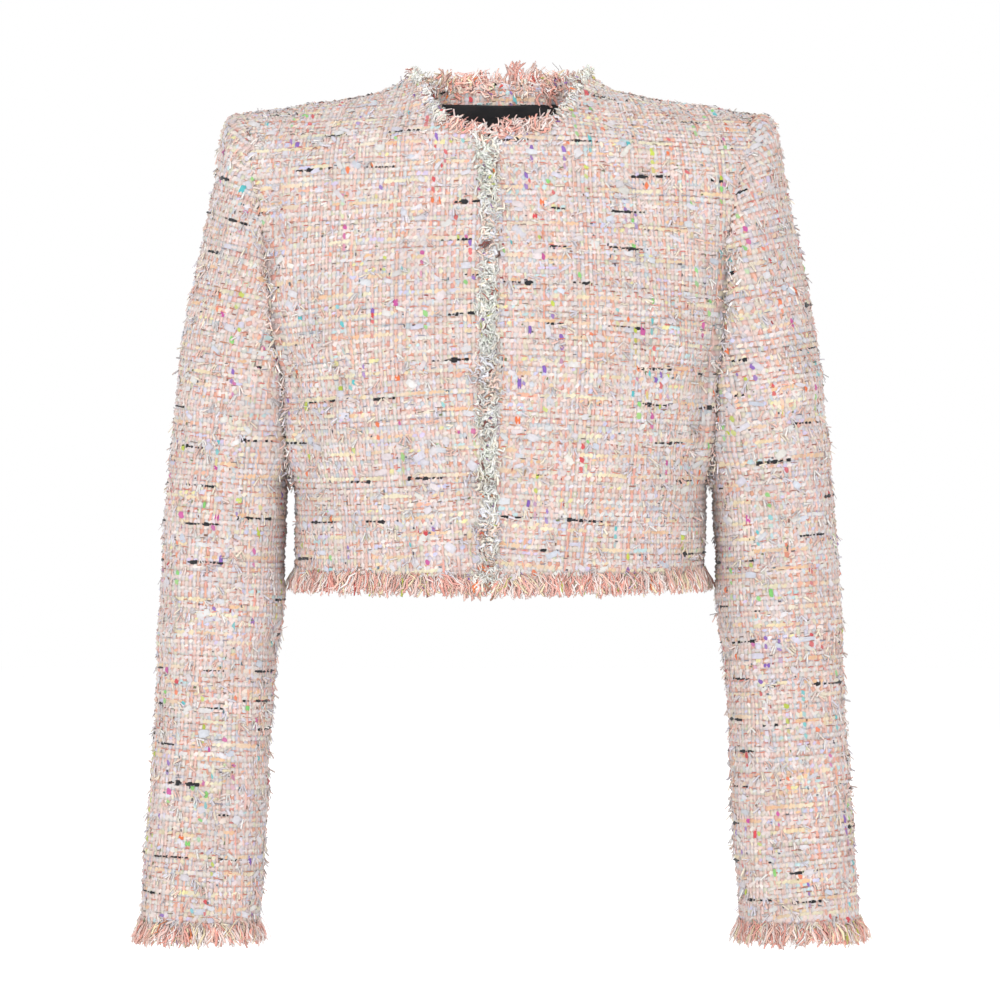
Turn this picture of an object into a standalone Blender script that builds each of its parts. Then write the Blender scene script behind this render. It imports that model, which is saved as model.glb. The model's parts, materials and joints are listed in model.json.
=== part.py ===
"""A cropped jacket of boucle tweed, filled out as when it is worn, and hollow.

Units are metres with +Z up and the front towards -Y. Left and right are the
wearer's, so the left side lies at +X. The origin is the middle of the neck
opening, level with the high points of the shoulders. The tables below are in
millimetres, one row for each section, edge station or fold. Each table is
written for the side at +X, and the other side is its mirror image.
"""

import math
import random

import bpy
import numpy as np
from mathutils.bvhtree import BVHTree

MM = 0.001

# Driving sizes, in millimetres
CLOTH = 2.5  # thickness of the tweed
SEAM_GAP = 0.3  # between neighbouring pieces
HEM_Z = -371
SHOULDER_TIP = (192.5, 2, -20)
UNDERARM = (162, 0, -222)
ARMHOLE_DEPTH = 56  # from the tip's plane to the front or back of the armhole
ARMHOLE_BOW = {"left": 7, "right": 1}  # how far each armhole seam bends inwards
FRONT_EDGES_MEET_X = -7.5
FRONT_EDGE_INSET = 3.1  # from the meeting line to each front's cloth
RISE_FADE = 12.5  # distance over which the neck's rise dies away
FULL_RISE = 14
NECK_CROWDING = 0.4  # how much closer the columns lie where the neck rises fully
ARMHOLE_POINTS = 61
SIDE_SEAM_POINTS = 25
SLEEVE_SEAM_FRONT = {"left": 115, "right": 105}  # degrees from the sleeve's outer line
SLEEVE_SEAM_BACK = -125

# Grid sizes
FRONT_COLUMNS = 14
BACK_HALF_COLUMNS = 14
ROW_PITCH = 22
NECK_PITCH = 14
TOP_SLEEVE_COLUMNS = 15
UNDER_SLEEVE_COLUMNS = 9
RING_PITCH = 31

# Side seam, from the underarm down to the hem
SIDE_SEAM = (
    # x, y, z
    (162, 0, -222),
    (158.5, 0, -268),
    (155.2, 0, -318),
    (155.2, 0, HEM_Z),
)

# Each row of a front or back runs from its inner end, on the centre line or the
# neckline, to a drop measured down the armhole and side seam from the shoulder
# tip. Fullness 1 is a straight row, 2 a quarter ellipse, more is boxier. Rise is
# how far the neckline there stands up.
FRONT_ROWS = (
    # x, y, z, drop, fullness, rise
    (0, -107, HEM_Z, 400, 2.3, 0),
    (0, -112, -318, 347, 2.3, 0),
    (0, -119, -268, 297, 2.35, 0),
    (0, -122, -222, 254, 2.3, 0),
    (0, -118, -176, 212, 2.1, 0),
    (0, -108, -130, 174, 1.95, 0),
    (0, -94, -85, 140, 1.75, 0),
    (0, -78, -40, 108, 1.6, 0),
    (30, -74, -38, 84, 1.45, 1),
    (45, -62, -31, 62, 1.35, 4),
    (53, -42, -19, 40, 1.25, 9),
    (60, -21, -8, 20, 1.15, 13),
    (65, -3, -2, 0, 1.05, 14.5),
)
BACK_ROWS = (
    (0, 93, HEM_Z, 400, 2.25, 0),
    (0, 90, -318, 347, 2.25, 0),
    (0, 97, -268, 297, 2.2, 0),
    (0, 107, -222, 254, 2.15, 0),
    (0, 113, -170, 212, 2.0, 0),
    (0, 109, -118, 172, 1.9, 0),
    (0, 96, -66, 138, 1.75, 0),
    (0, 80, -26, 114, 1.6, 0),
    (0, 70, -6, 95, 1.5, 14),
    (27, 65, -6, 72, 1.4, 14),
    (48, 48, -5, 49, 1.3, 14),
    (61, 23, -3.5, 24, 1.15, 14),
    (65, -3, -2, 0, 1.05, 14.5),
)
FRONT_NECK_ROW = 7
BACK_NECK_ROW = 8
PANELS = {
    # piece: its rows, which way it faces along Y, and the first row on the neckline
    "front": (FRONT_ROWS, -1, FRONT_NECK_ROW),
    "back": (BACK_ROWS, 1, BACK_NECK_ROW),
}

# A ring for each station down the sleeve. Its outer and inner ends are seen from
# the front; depth is half its thickness from front to back, y its middle, and
# bow the share of the armhole's bend that it keeps.
SLEEVE_RINGS = (
    # outer x, outer z, inner x, inner z, depth, y, bow
    (192.8, -20, 162.3, -222, 56, 0, 1.0),
    (200.5, -18.5, 162.4, -225, 58, 0, 0.85),
    (206.5, -22.5, 162.3, -228, 59.5, 0, 0.65),
    (210.5, -33, 162.1, -231, 60, 0, 0.45),
    (214, -56, 161.8, -236, 60, 0, 0.25),
    (218, -88, 161.4, -243, 59, 0, 0.1),
    (228, -128, 160.9, -253, 57.5, 0, 0),
    (237, -176, 160.2, -268, 56, -1, 0),
    (243.5, -228, 159.6, -290, 54, -2, 0),
    (250, -296, 159.8, -328, 52, -3, 0),
    (255.5, -366, 163, -382, 50, -4, 0),
    (258, -420, 168, -424, 47, -7, 0),
    (259.5, -480, 173, -480, 44, -10, 0),
    (265, -545, 174.5, -545, 41, -14, 0),
    (268.5, -600, 178.5, -600, 39.5, -17, 0),
    (270.5, -630, 181, -630, 39, -19, 0),
)

# Soft folds. On the body they are placed by x and z on a front or back; on a
# sleeve by the angle round it and z. Lean turns the fold from level, and a
# negative height is a trough.
BODY_FOLDS = (
    # piece, side, x, z, lean, half length, half width, height
    ("front", "left", 143, -232, -62, 42, 8, 3.0),
    ("front", "left", 128, -262, -55, 38, 9, -2.2),
    ("front", "left", 150, -300, -80, 34, 9, 1.8),
    ("front", "right", 146, -240, -58, 40, 8, 2.8),
    ("front", "right", 131, -272, -52, 36, 9, -2.0),
    ("front", "right", 148, -318, -74, 30, 9, 1.6),
    ("front", "left", 172, -120, -84, 50, 7, -1.8),
    ("front", "right", 174, -128, -84, 50, 7, -1.8),
    ("back", "left", 138, -220, -58, 44, 9, 3.0),
    ("back", "left", 120, -256, -50, 40, 10, -2.2),
    ("back", "right", 141, -228, -60, 42, 9, 2.8),
    ("back", "right", 124, -262, -52, 38, 10, -2.0),
    ("back", "left", 60, -318, 6, 60, 12, -2.0),
    ("back", "right", 66, -310, -4, 58, 12, -2.0),
)
SLEEVE_FOLDS = (
    # side, angle, z, lean, half length, half width, height
    ("left", 150, -352, 12, 34, 9, -2.6),
    ("left", 165, -384, -6, 30, 9, 2.2),
    ("left", 140, -415, 14, 32, 9, -2.0),
    ("left", -150, -366, -10, 34, 10, -2.4),
    ("left", 60, -262, 28, 30, 10, -1.6),
    ("left", 20, -110, 4, 46, 9, -1.4),
    ("right", 155, -346, 10, 34, 9, -2.6),
    ("right", 170, -378, -8, 30, 9, 2.2),
    ("right", 145, -424, 12, 32, 9, -2.0),
    ("right", -145, -372, -10, 34, 10, -2.4),
    ("right", 55, -270, 28, 30, 10, -1.6),
    ("right", 20, -104, 4, 46, 9, -1.4),
)
SLEEVE_FOLD_RADIUS = 48

# Fringe
STRIP_GAP = 0.5  # from the cloth's edge, whose bends the strip's straight cells cut across
STRIP = 2.4  # width of the backing strip
HEM_LOCKS_FRONT = 24
HEM_LOCKS_BACK = 48
CUFF_LOCKS = 26
NECK_LOCKS_FRONT = 12
NECK_LOCKS_BACK = 18
FRONT_EDGE_LOCKS = 26

# Locks that hang on from an edge: length, and how far the tips stand off
HEM_LOCK = (14, 2.0)
CUFF_LOCK = (10, 2.5)
NECK_LOCK = (7, 1.5)
BACK_NECK_LOCK = (10, 1.5)
SHORTEST_LOCK = 0.72  # share of the full length
LOCK_SWING = 0.28  # how far a tip sways, in widths of its lock
KNEE_AT = 0.45  # where a lock bends, as a share of its length
KNEE_SHARE = 0.35  # share of its sway and standing off that it has there
KNEE_WIDTH = 0.62

# Locks of the front edges, folded back over the cloth
FOLD_ACROSS = (8.0, 11.5)
FOLD_DROP = (4.0, 8.0)
FOLD_KNEE = (3.4, 3.2, 2.0)  # forwards, back over the cloth, down
FOLD_TIP_FORWARDS = 3.0
FOLD_HALF_THICK = 0.9
FOLD_HALF_TALL = 0.3  # share of its root's height

# Label inside the back neck
LABEL_HALF_WIDTH = 45
LABEL_TOP = -7
LABEL_TALL = 23
LABEL_ROWS = 4
LABEL_COLUMNS = 16
LABEL_CLEARANCE = 0.8
LABEL_THICK = 0.8


def srgb(red, green, blue):
    """A linear colour from one written in sRGB steps of 255."""
    linear = [
        c / 255 / 12.92 if c <= 10 else ((c / 255 + 0.055) / 1.055) ** 2.4
        for c in (red, green, blue)
    ]
    return (*linear, 1)


FINISHES = {
    # name: colour, roughness
    "tweed": (srgb(226, 205, 198), 0.95),
    "coral_fringe": (srgb(233, 170, 155), 0.95),
    "pale_fringe": (srgb(206, 205, 190), 0.95),
    "black_label": (srgb(22, 22, 26), 0.6),
}


def empty_scene():
    for thing in list(bpy.data.objects):
        bpy.data.objects.remove(thing, do_unlink=True)


def finish(name):
    material = bpy.data.materials.get(name)
    if material is None:
        colour, roughness = FINISHES[name]
        material = bpy.data.materials.new(name)
        material.use_nodes = True
        shader = material.node_tree.nodes["Principled BSDF"]
        shader.inputs["Base Color"].default_value = colour
        shader.inputs["Roughness"].default_value = roughness
        shader.inputs["Metallic"].default_value = 0
        material.diffuse_color = colour
    return material


# ---------------------------------------------------------------- curves

def between_rows(table, at):
    """A table read smoothly between its rows, at fractional row numbers."""
    rows = np.array(table, float)
    rows = np.vstack((2 * rows[0] - rows[1], rows, 2 * rows[-1] - rows[-2]))
    at = np.clip(np.asarray(at, float), 0, len(table) - 1)
    first = np.minimum(at.astype(int), len(table) - 2)
    t = (at - first)[:, None]
    a, b, c, d = (rows[first + k] for k in range(4))
    return b + t / 2 * (c - a + t * (2 * a - 5 * b + 4 * c - d + t * (3 * (b - c) + d - a)))


def row_numbers(points, pitches):
    """Fractional row numbers that step down a line of stations about a pitch apart."""
    numbers = [0.0]
    lengths = np.linalg.norm(np.diff(points, axis=0), axis=1)
    for i, (length, pitch) in enumerate(zip(lengths, pitches)):
        steps = max(1, round(length / pitch))
        numbers += [i + (k + 1) / steps for k in range(steps)]
    return numbers


def along(points, distances):
    """Points at given distances along a line of points."""
    run = np.concatenate(([0], np.cumsum(np.linalg.norm(np.diff(points, axis=0), axis=1))))
    return np.stack([np.interp(distances, run, points[:, k]) for k in range(3)], axis=1)


def length_of(points):
    return np.linalg.norm(np.diff(points, axis=0), axis=1).sum()


def armhole(angle, face, bow):
    """A point of the armhole: angle 0 at the shoulder tip, pi at the underarm."""
    tip, underarm = np.array(SHOULDER_TIP), np.array(UNDERARM)
    point = (tip + underarm) / 2 + math.cos(angle) * (tip - underarm) / 2
    point[0] -= bow * math.sin(angle) ** 2
    point[1] += face * ARMHOLE_DEPTH * math.sin(angle)
    return point


def outer_edge(face, side):
    """The armhole and side seam as one line down from the shoulder tip."""
    curve = [armhole(a, face, ARMHOLE_BOW[side]) for a in np.linspace(0, math.pi, ARMHOLE_POINTS)]
    seam = between_rows(SIDE_SEAM, np.linspace(0, len(SIDE_SEAM) - 1, SIDE_SEAM_POINTS))
    return np.vstack((curve, seam[1:]))


# ---------------------------------------------------------------- surfaces

def neckline(side):
    """The whole neckline of one side before it rises, and its rise at each point."""
    front = between_rows(FRONT_ROWS, np.linspace(FRONT_NECK_ROW, len(FRONT_ROWS) - 1, 50))
    back = between_rows(BACK_ROWS, np.linspace(len(BACK_ROWS) - 1, BACK_NECK_ROW, 50))
    front[0, 0] = front_edge_x(side)
    line = np.vstack((front, back))
    return line[:, :3], line[:, 5]


def risen(points, side):
    """Points near the neckline lifted, as the cloth turns up there."""
    line, rise = neckline(side)
    away = np.linalg.norm(points[..., None, :] - line, axis=-1)
    nearest = away.argmin(axis=-1)
    points[..., 2] += rise[nearest] * np.exp(-away.min(axis=-1) / RISE_FADE)
    return points


def front_edge_x(side):
    """Where a front's edge lies, measured towards its own side."""
    towards = 1 if side == "left" else -1
    return FRONT_EDGES_MEET_X * towards + FRONT_EDGE_INSET


def body_surface(piece, side, rows, shares):
    """Points of a half body: rows by number, and shares from the inner end out."""
    table, face, neck = PANELS[piece]
    rows = np.asarray(rows, float)
    stations = between_rows(table, rows)
    stations[rows <= neck, 0] = 0
    if piece == "front":
        stations[:, 0] += np.clip(neck + 1 - rows, 0, 1) * front_edge_x(side)
    ends = along(outer_edge(face, side), stations[:, 3])
    turn = np.linspace(0, math.pi / 2, 49)
    grid = []
    for station, end, row_shares in zip(stations, ends, shares):
        start, power = station[:3], 2 / station[4]
        outwards = np.sin(turn) ** power
        backwards = 1 - np.cos(turn) ** power
        row = start + (end - start) * np.stack((outwards, backwards, outwards), axis=1)
        grid.append(along(row, np.asarray(row_shares) * length_of(row)))
    return risen(np.array(grid), side)


def sleeve_surface(side, rings, angles):
    """Points of a sleeve: rings by number, angles in radians from its outer line."""
    stations = between_rows(SLEEVE_RINGS, rings)[:, None, :]
    outer_x, outer_z, inner_x, inner_z, depth, y, bow = np.moveaxis(stations, 2, 0)
    across, front = np.cos(angles), np.sin(angles)
    x = (outer_x + inner_x) / 2 + across * (outer_x - inner_x) / 2
    x = x - bow * ARMHOLE_BOW[side] * front**2
    z = (outer_z + inner_z) / 2 + across * (outer_z - inner_z) / 2
    return np.stack((x, y - depth * front, z), axis=-1)


def fold_height(u, w, folds):
    """The sum of soft folds at a place on a piece, u across and w up."""
    height = 0
    for u0, w0, lean, half_length, half_width, deep in folds:
        lean = math.radians(lean)
        lengthwise = (u - u0) * math.cos(lean) + (w - w0) * math.sin(lean)
        across = (w - w0) * math.cos(lean) - (u - u0) * math.sin(lean)
        height = height + deep * np.exp(-((lengthwise / half_length) ** 2) - (across / half_width) ** 2)
    return height


def unit(vectors):
    return vectors / np.linalg.norm(vectors, axis=-1, keepdims=True)


def slopes(surface, rows, columns, last_row):
    """The outward normals of a surface, from points a small step away."""
    rows, columns = np.asarray(rows, float), np.asarray(columns, float)
    step = 0.02
    down, up = np.maximum(rows - step, 0), np.minimum(rows + step, last_row)
    lengthwise = surface(up, columns) - surface(down, columns)
    crosswise = surface(rows, columns + step / 2) - surface(rows, columns - step / 2)
    return unit(np.cross(crosswise, lengthwise))


def skin_normals(points, face):
    """Normals of a grid of points, averaged over the faces that meet at each."""
    one = points[1:, 1:] - points[:-1, :-1]
    other = points[1:, :-1] - points[:-1, 1:]
    flat = np.cross(one, other)
    normals = np.zeros_like(points)
    for rows in (slice(None, -1), slice(1, None)):
        for columns in (slice(None, -1), slice(1, None)):
            normals[rows, columns] += flat
    return unit(normals * np.sign(face * normals[..., 1].sum()))


def body_grid(piece, side, rows, shares):
    """Points and outward normals of a half body, with its folds."""
    face = PANELS[piece][1]
    points = body_surface(piece, side, rows, shares)
    folds = [row[2:] for row in BODY_FOLDS if row[:2] == (piece, side)]
    height = fold_height(points[..., 0], points[..., 2], folds)
    points = points + skin_normals(points, face) * height[..., None]
    return points, skin_normals(points, face)


def sleeve_grid(side, rings, angles):
    """Points and outward normals of a sleeve, with its folds."""
    last = len(SLEEVE_RINGS) - 1
    folds = [row[1:] for row in SLEEVE_FOLDS if row[0] == side]

    def plain(at, round_it):
        return sleeve_surface(side, at, round_it)

    def folded(at, round_it):
        points = plain(at, round_it)
        outwards = slopes(plain, at, round_it, last)
        height = 0
        for angle, *fold in folds:
            turn = np.asarray(round_it) - math.radians(angle)
            turn = (turn + math.pi) % (2 * math.pi) - math.pi
            u = turn * SLEEVE_FOLD_RADIUS + 0 * points[..., 2]
            height = height + fold_height(u, points[..., 2], [(0, *fold)])
        return points + outwards * np.asarray(height)[..., None]

    return folded(rings, angles), slopes(folded, rings, angles, last)


# ---------------------------------------------------------------- solids

def grid_faces(rows, columns):
    faces = []
    for i in range(rows - 1):
        for j in range(columns - 1):
            low, high = i * columns + j, (i + 1) * columns + j
            faces.append((low, low + 1, high + 1, high))
    return faces


def solid(name, points, faces, material, side="left"):
    """One closed mesh object from millimetre points, mirrored for the right side."""
    points = np.array(points, float)
    if side == "right":
        points[:, 0] *= -1
    corners = [[points[i] for i in face] for face in faces]
    volume = sum(
        np.dot(face[0], np.cross(face[k], face[k + 1]))
        for face in corners
        for k in range(1, len(face) - 1)
    )
    if volume < 0:
        faces = [face[::-1] for face in faces]
    mesh = bpy.data.meshes.new(name)
    mesh.from_pydata((points * MM).tolist(), [], faces)
    mesh.materials.append(finish(material))
    mesh.shade_smooth()
    mesh.set_sharp_from_angle(angle=math.radians(50))
    thing = bpy.data.objects.new(name, mesh)
    bpy.context.collection.objects.link(thing)
    return thing


def wall(name, outer, inner, faces, material, side="left"):
    """A closed wall between two skins that share their faces."""
    outer, inner = outer.reshape(-1, 3), inner.reshape(-1, 3)
    count = len(outer)
    edges = {}
    for face in faces:
        for a, b in zip(face, face[1:] + face[:1]):
            edges[(a, b)] = edges.get((a, b), 0) + 1
    rim = [(b, a, a + count, b + count) for a, b in edges if (b, a) not in edges]
    inside = [tuple(i + count for i in face[::-1]) for face in faces]
    return solid(name, np.vstack((outer, inner)), list(faces) + inside + rim, material, side)


def crowded(columns, rises):
    """Shares from 0 to 1 across each row, closer to the neck where the cloth rises."""
    even = np.linspace(0, 1, columns + 1)
    return np.array([even ** (1 + NECK_CROWDING * rise / FULL_RISE) for rise in rises])


def half_body(piece, side, columns):
    """A front or half a back: outer skin, inner skin, and its row numbers."""
    table, face, neck = PANELS[piece]
    inner_ends = body_surface(piece, side, range(len(table)), [[0]] * len(table))[:, 0]
    rows = row_numbers(inner_ends, [ROW_PITCH] * neck + [NECK_PITCH] * (len(table) - neck))
    shares = crowded(columns, between_rows(table, rows)[:, 5].clip(0, FULL_RISE))
    outer, normals = body_grid(piece, side, rows, shares)
    drops = between_rows(table, rows)[:, 3]
    seam_below = drops >= length_of(outer_edge(face, side)[:ARMHOLE_POINTS]) - 1
    # along a seam both neighbours thicken in the seam's own plane
    normals[-1, :, 1] = 0
    normals[seam_below, -1, 1] = 0
    below_neck = np.array(rows) <= neck
    normals[below_neck, 0, 0] = 0
    normals = unit(normals)
    outer[-1, :, 1] += face * SEAM_GAP / 2
    outer[seam_below, -1, 1] += face * SEAM_GAP / 2
    return outer, outer - normals * CLOTH, np.array(rows)


def make_front(side):
    outer, inner, rows = half_body("front", side, FRONT_COLUMNS)
    faces = grid_faces(len(rows), FRONT_COLUMNS + 1)
    wall(f"front_{side}", outer, inner, faces, "tweed", side)
    return outer, inner, rows


def make_back():
    """Both halves, joined on the centre line below the neck."""
    halves = {side: half_body("back", side, BACK_HALF_COLUMNS) for side in ("left", "right")}
    rows = halves["left"][2]
    columns = BACK_HALF_COLUMNS + 1
    mirror = np.array((-1, 1, 1))
    outer = np.vstack((halves["left"][0].reshape(-1, 3), halves["right"][0].reshape(-1, 3) * mirror))
    inner = np.vstack((halves["left"][1].reshape(-1, 3), halves["right"][1].reshape(-1, 3) * mirror))
    size = len(rows) * columns
    shared = {size + i * columns: i * columns for i in range(len(rows)) if rows[i] <= BACK_NECK_ROW}
    for twin in shared.values():
        outer[twin, 0] = 0
        inner[twin, 0] = 0
    left = grid_faces(len(rows), columns)
    right = [tuple(shared.get(i + size, i + size) for i in face[::-1]) for face in left]
    used = sorted({i for face in left + right for i in face})
    place = {old: new for new, old in enumerate(used)}
    faces = [tuple(place[i] for i in face) for face in left + right]
    wall("back", outer[used], inner[used], faces, "tweed")
    return halves, BVHTree.FromPolygons(inner[used].tolist(), faces)


def make_sleeve(side):
    """The top and under sleeve of one arm."""
    outer_line = between_rows(SLEEVE_RINGS, range(len(SLEEVE_RINGS)))[:, :2]
    rings = row_numbers(outer_line, [RING_PITCH] * len(outer_line))
    front, back = math.radians(SLEEVE_SEAM_FRONT[side]), math.radians(SLEEVE_SEAM_BACK)
    gap = SEAM_GAP / 2 / SLEEVE_FOLD_RADIUS
    spans = {
        "top": np.linspace(back + gap, front - gap, TOP_SLEEVE_COLUMNS + 1),
        "under": np.linspace(front + gap, back + 2 * math.pi - gap, UNDER_SLEEVE_COLUMNS + 1),
    }
    skins = {}
    for part, angles in spans.items():
        outer, normals = sleeve_grid(side, rings, angles)
        inner = outer - normals * CLOTH
        faces = grid_faces(len(rings), len(angles))
        wall(f"sleeve_{part}_{side}", outer, inner, faces, "tweed", side)
        skins[part] = (outer, inner)
    return skins


# ---------------------------------------------------------------- fringe

def strip_stations(outer, inner, behind, locks, closed=False):
    """Edge points of a wall and the way out of the cloth, at the ends of each lock."""
    if closed:
        outer, inner, behind = (np.vstack((line, line[:1])) for line in (outer, inner, behind))
        lengthwise = np.vstack((outer[1:], outer[1:2])) - np.vstack((outer[-2:-1], outer[:-1]))
    else:
        lengthwise = np.gradient(outer, axis=0)
    out = unit(np.cross(lengthwise, outer - inner))
    out *= np.sign(np.sum(out * (outer - behind)))
    run = np.concatenate(([0], np.cumsum(np.linalg.norm(np.diff(outer, axis=0), axis=1))))
    at = np.linspace(0, run[-1], locks + 1)
    if closed:
        at = at[:-1]
    else:
        # a station at each corner of the cloth's edge, which the strip then follows
        for corner in run[1:-1]:
            at[np.abs(at - corner).argmin()] = corner
    resampled = [
        np.stack([np.interp(at, run, line[:, k]) for k in range(3)], axis=1)
        for line in (outer, inner, out)
    ]
    return resampled[0], resampled[1], unit(resampled[2])


def fringe(name, stations, lock, material, side="left", closed=False, root="far"):
    """A narrow strip just off the cloth's edge, with a lock grown on each cell."""
    outer, inner, out = stations
    near, far = STRIP_GAP, STRIP_GAP + STRIP
    corners = np.stack((outer + near * out, outer + far * out, inner + far * out, inner + near * out), axis=1)
    points = list(corners.reshape(-1, 3))
    count = len(corners)
    draw = random.Random(name)
    faces = []
    for i in range(count if closed else count - 1):
        here, there = 4 * i, 4 * ((i + 1) % count)
        for corner in range(4):
            after = (corner + 1) % 4
            quad = (here + corner, there + corner, there + after, here + after)
            if (corner == 1 and root == "far") or (corner == 0 and root == "outer"):
                base = np.array([points[k] for k in quad])
                knees, tip = lock(draw, base, out[i])
                first = len(points)
                points += [*knees, tip]
                for k in range(4):
                    after_k = (k + 1) % 4
                    faces.append((quad[k], quad[after_k], first + after_k, first + k))
                    faces.append((first + k, first + after_k, first + 4))
            else:
                faces.append(quad)
    if not closed:
        faces.append((0, 1, 2, 3))
        last = 4 * (count - 1)
        faces.append((last + 3, last + 2, last + 1, last))
    solid(name, points, faces, material, side)


def hanging_lock(length, stand):
    """Locks that run on from the cloth, tapering, each with its own length and sway."""

    def lock(draw, base, out):
        middle = base.mean(axis=0)
        facing = unit(base[0] - base[3])
        long = length * draw.uniform(SHORTEST_LOCK, 1)
        sway = (base[1] - base[0]) * draw.uniform(-LOCK_SWING, LOCK_SWING)
        aside = sway + facing * stand * draw.uniform(0.5, 1)
        knee = middle + out * long * KNEE_AT + aside * KNEE_SHARE
        return knee + (base - middle) * KNEE_WIDTH, middle + out * long + aside

    return lock


def folded_lock(draw, base, out):
    """A lock of the front edge: forward out of the strip, then back over its own front."""
    middle = base.mean(axis=0)
    down = unit(base[0] - base[1])
    forwards = np.cross(out, down)
    forwards *= -np.sign(forwards[1])
    ahead, back, lower = FOLD_KNEE
    knee = middle + forwards * ahead - out * back + down * lower
    half_tall = FOLD_HALF_TALL * abs(base[1, 2] - base[0, 2])
    knees = []
    for point in base - middle:
        # the side next to the cloth becomes the lock's underside as it folds over
        away, high = np.sign(np.dot(point, out)), np.sign(point[2])
        knees.append(knee + forwards * FOLD_HALF_THICK * away + (0, 0, high * half_tall))
    across, drop = draw.uniform(*FOLD_ACROSS), draw.uniform(*FOLD_DROP)
    return np.array(knees), middle + forwards * FOLD_TIP_FORWARDS - out * across + down * drop


def make_front_fringes(side, outer, inner, rows):
    """The fringes of a front's hem, neck and edge."""
    stations = strip_stations(outer[0], inner[0], outer[1], HEM_LOCKS_FRONT)
    fringe(f"hem_fringe_{side}", stations, hanging_lock(*HEM_LOCK), "coral_fringe", side)
    neck = rows >= FRONT_NECK_ROW
    stations = strip_stations(outer[neck, 0], inner[neck, 0], outer[neck, 1], NECK_LOCKS_FRONT)
    fringe(f"neck_fringe_{side}", stations, hanging_lock(*NECK_LOCK), "coral_fringe", side)
    edge = rows <= FRONT_NECK_ROW
    stations = strip_stations(outer[edge, 0], inner[edge, 0], outer[edge, 1], FRONT_EDGE_LOCKS)
    fringe(f"front_fringe_{side}", stations, folded_lock, "pale_fringe", side, root="outer")


def make_back_fringes(halves):
    """The fringes of the back's hem and neck, each from the right side to the left."""

    def across(skin, place):
        left, right = (halves[side][skin][place] for side in ("left", "right"))
        return np.vstack((right[::-1] * (-1, 1, 1), left[1:]))

    stations = strip_stations(across(0, 0), across(1, 0), across(0, 1), HEM_LOCKS_BACK)
    fringe("hem_fringe_back", stations, hanging_lock(*HEM_LOCK), "coral_fringe")
    neck = halves["left"][2] >= BACK_NECK_ROW
    behind = across(0, (neck, 1))
    behind[len(behind) // 2] = halves["left"][0][np.argmax(neck) - 1, 0]
    stations = strip_stations(across(0, (neck, 0)), across(1, (neck, 0)), behind, NECK_LOCKS_BACK)
    fringe("neck_fringe_back", stations, hanging_lock(*BACK_NECK_LOCK), "coral_fringe")


def make_cuff_fringe(side, skins):
    ends = [np.vstack((skins["top"][k][-1], skins["under"][k][-1])) for k in (0, 1)]
    above = np.vstack((skins["top"][0][-2], skins["under"][0][-2]))
    stations = strip_stations(ends[0], ends[1], above, CUFF_LOCKS, closed=True)
    fringe(f"cuff_fringe_{side}", stations, hanging_lock(*CUFF_LOCK), "coral_fringe", side, closed=True)


# ---------------------------------------------------------------- label

def make_label(lining_side):
    """A plain tab that follows the inner skin of the back, just clear of it."""
    across = np.linspace(-LABEL_HALF_WIDTH, LABEL_HALF_WIDTH, LABEL_COLUMNS + 1)
    heights = np.linspace(LABEL_TOP - LABEL_TALL, LABEL_TOP, LABEL_ROWS + 1)
    points = np.array([
        [lining_side.ray_cast((x, 0, z), (0, 1, 0))[0] for x in across] for z in heights
    ])
    normals = skin_normals(points, 1)
    outer = points - normals * LABEL_CLEARANCE
    inner = outer - normals * LABEL_THICK
    wall("neck_label", outer, inner, grid_faces(*points.shape[:2]), "black_label")


def build():
    empty_scene()
    for side in ("left", "right"):
        make_front_fringes(side, *make_front(side))
        make_cuff_fringe(side, make_sleeve(side))
    halves, inner_back = make_back()
    make_back_fringes(halves)
    make_label(inner_back)


build()
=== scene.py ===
# %% [markdown]
# # A cropped boucle tweed jacket
#
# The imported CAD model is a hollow, filled-out jacket of seven cloth walls with
# narrow strips of fringe. This lesson dresses it: each wall becomes a creased
# cloth shell, covered with the raised yarns of a loose tweed, and each strip
# becomes a fringe of frayed yarn ends.

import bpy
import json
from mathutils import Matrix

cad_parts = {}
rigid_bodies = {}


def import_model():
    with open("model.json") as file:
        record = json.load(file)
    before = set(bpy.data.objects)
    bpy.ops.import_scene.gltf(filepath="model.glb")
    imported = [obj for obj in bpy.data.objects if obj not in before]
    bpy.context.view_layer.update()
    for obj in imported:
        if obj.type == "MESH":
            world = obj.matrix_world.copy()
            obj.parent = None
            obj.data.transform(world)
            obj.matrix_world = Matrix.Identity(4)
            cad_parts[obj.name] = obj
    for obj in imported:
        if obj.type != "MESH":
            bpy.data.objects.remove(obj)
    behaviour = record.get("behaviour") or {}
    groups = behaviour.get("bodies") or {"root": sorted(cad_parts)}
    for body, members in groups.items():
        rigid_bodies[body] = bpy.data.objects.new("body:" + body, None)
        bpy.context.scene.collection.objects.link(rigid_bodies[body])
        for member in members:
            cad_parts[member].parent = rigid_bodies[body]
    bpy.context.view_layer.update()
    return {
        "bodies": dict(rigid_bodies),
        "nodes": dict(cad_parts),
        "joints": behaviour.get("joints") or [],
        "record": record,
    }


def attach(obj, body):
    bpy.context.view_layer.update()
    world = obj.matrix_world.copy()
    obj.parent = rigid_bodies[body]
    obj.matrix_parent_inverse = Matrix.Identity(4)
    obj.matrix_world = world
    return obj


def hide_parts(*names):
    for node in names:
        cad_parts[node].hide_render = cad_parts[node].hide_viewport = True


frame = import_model()
nodes = frame["nodes"]

# %% [markdown]
# ## Tools and units
#
# All the sizes of cloth and yarn below are in millimetres, because that is how
# a weaver would give them. Blender works in metres, so they are multiplied by
# MM where they are used. Every random choice draws from a generator that is
# seeded with a piece's name, so the jacket is the same on each run.

# %% Tools and units
import json
import math
import zlib

import bmesh
import bpy
import numpy as np
from mathutils import Vector
from mathutils.bvhtree import BVHTree

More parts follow.
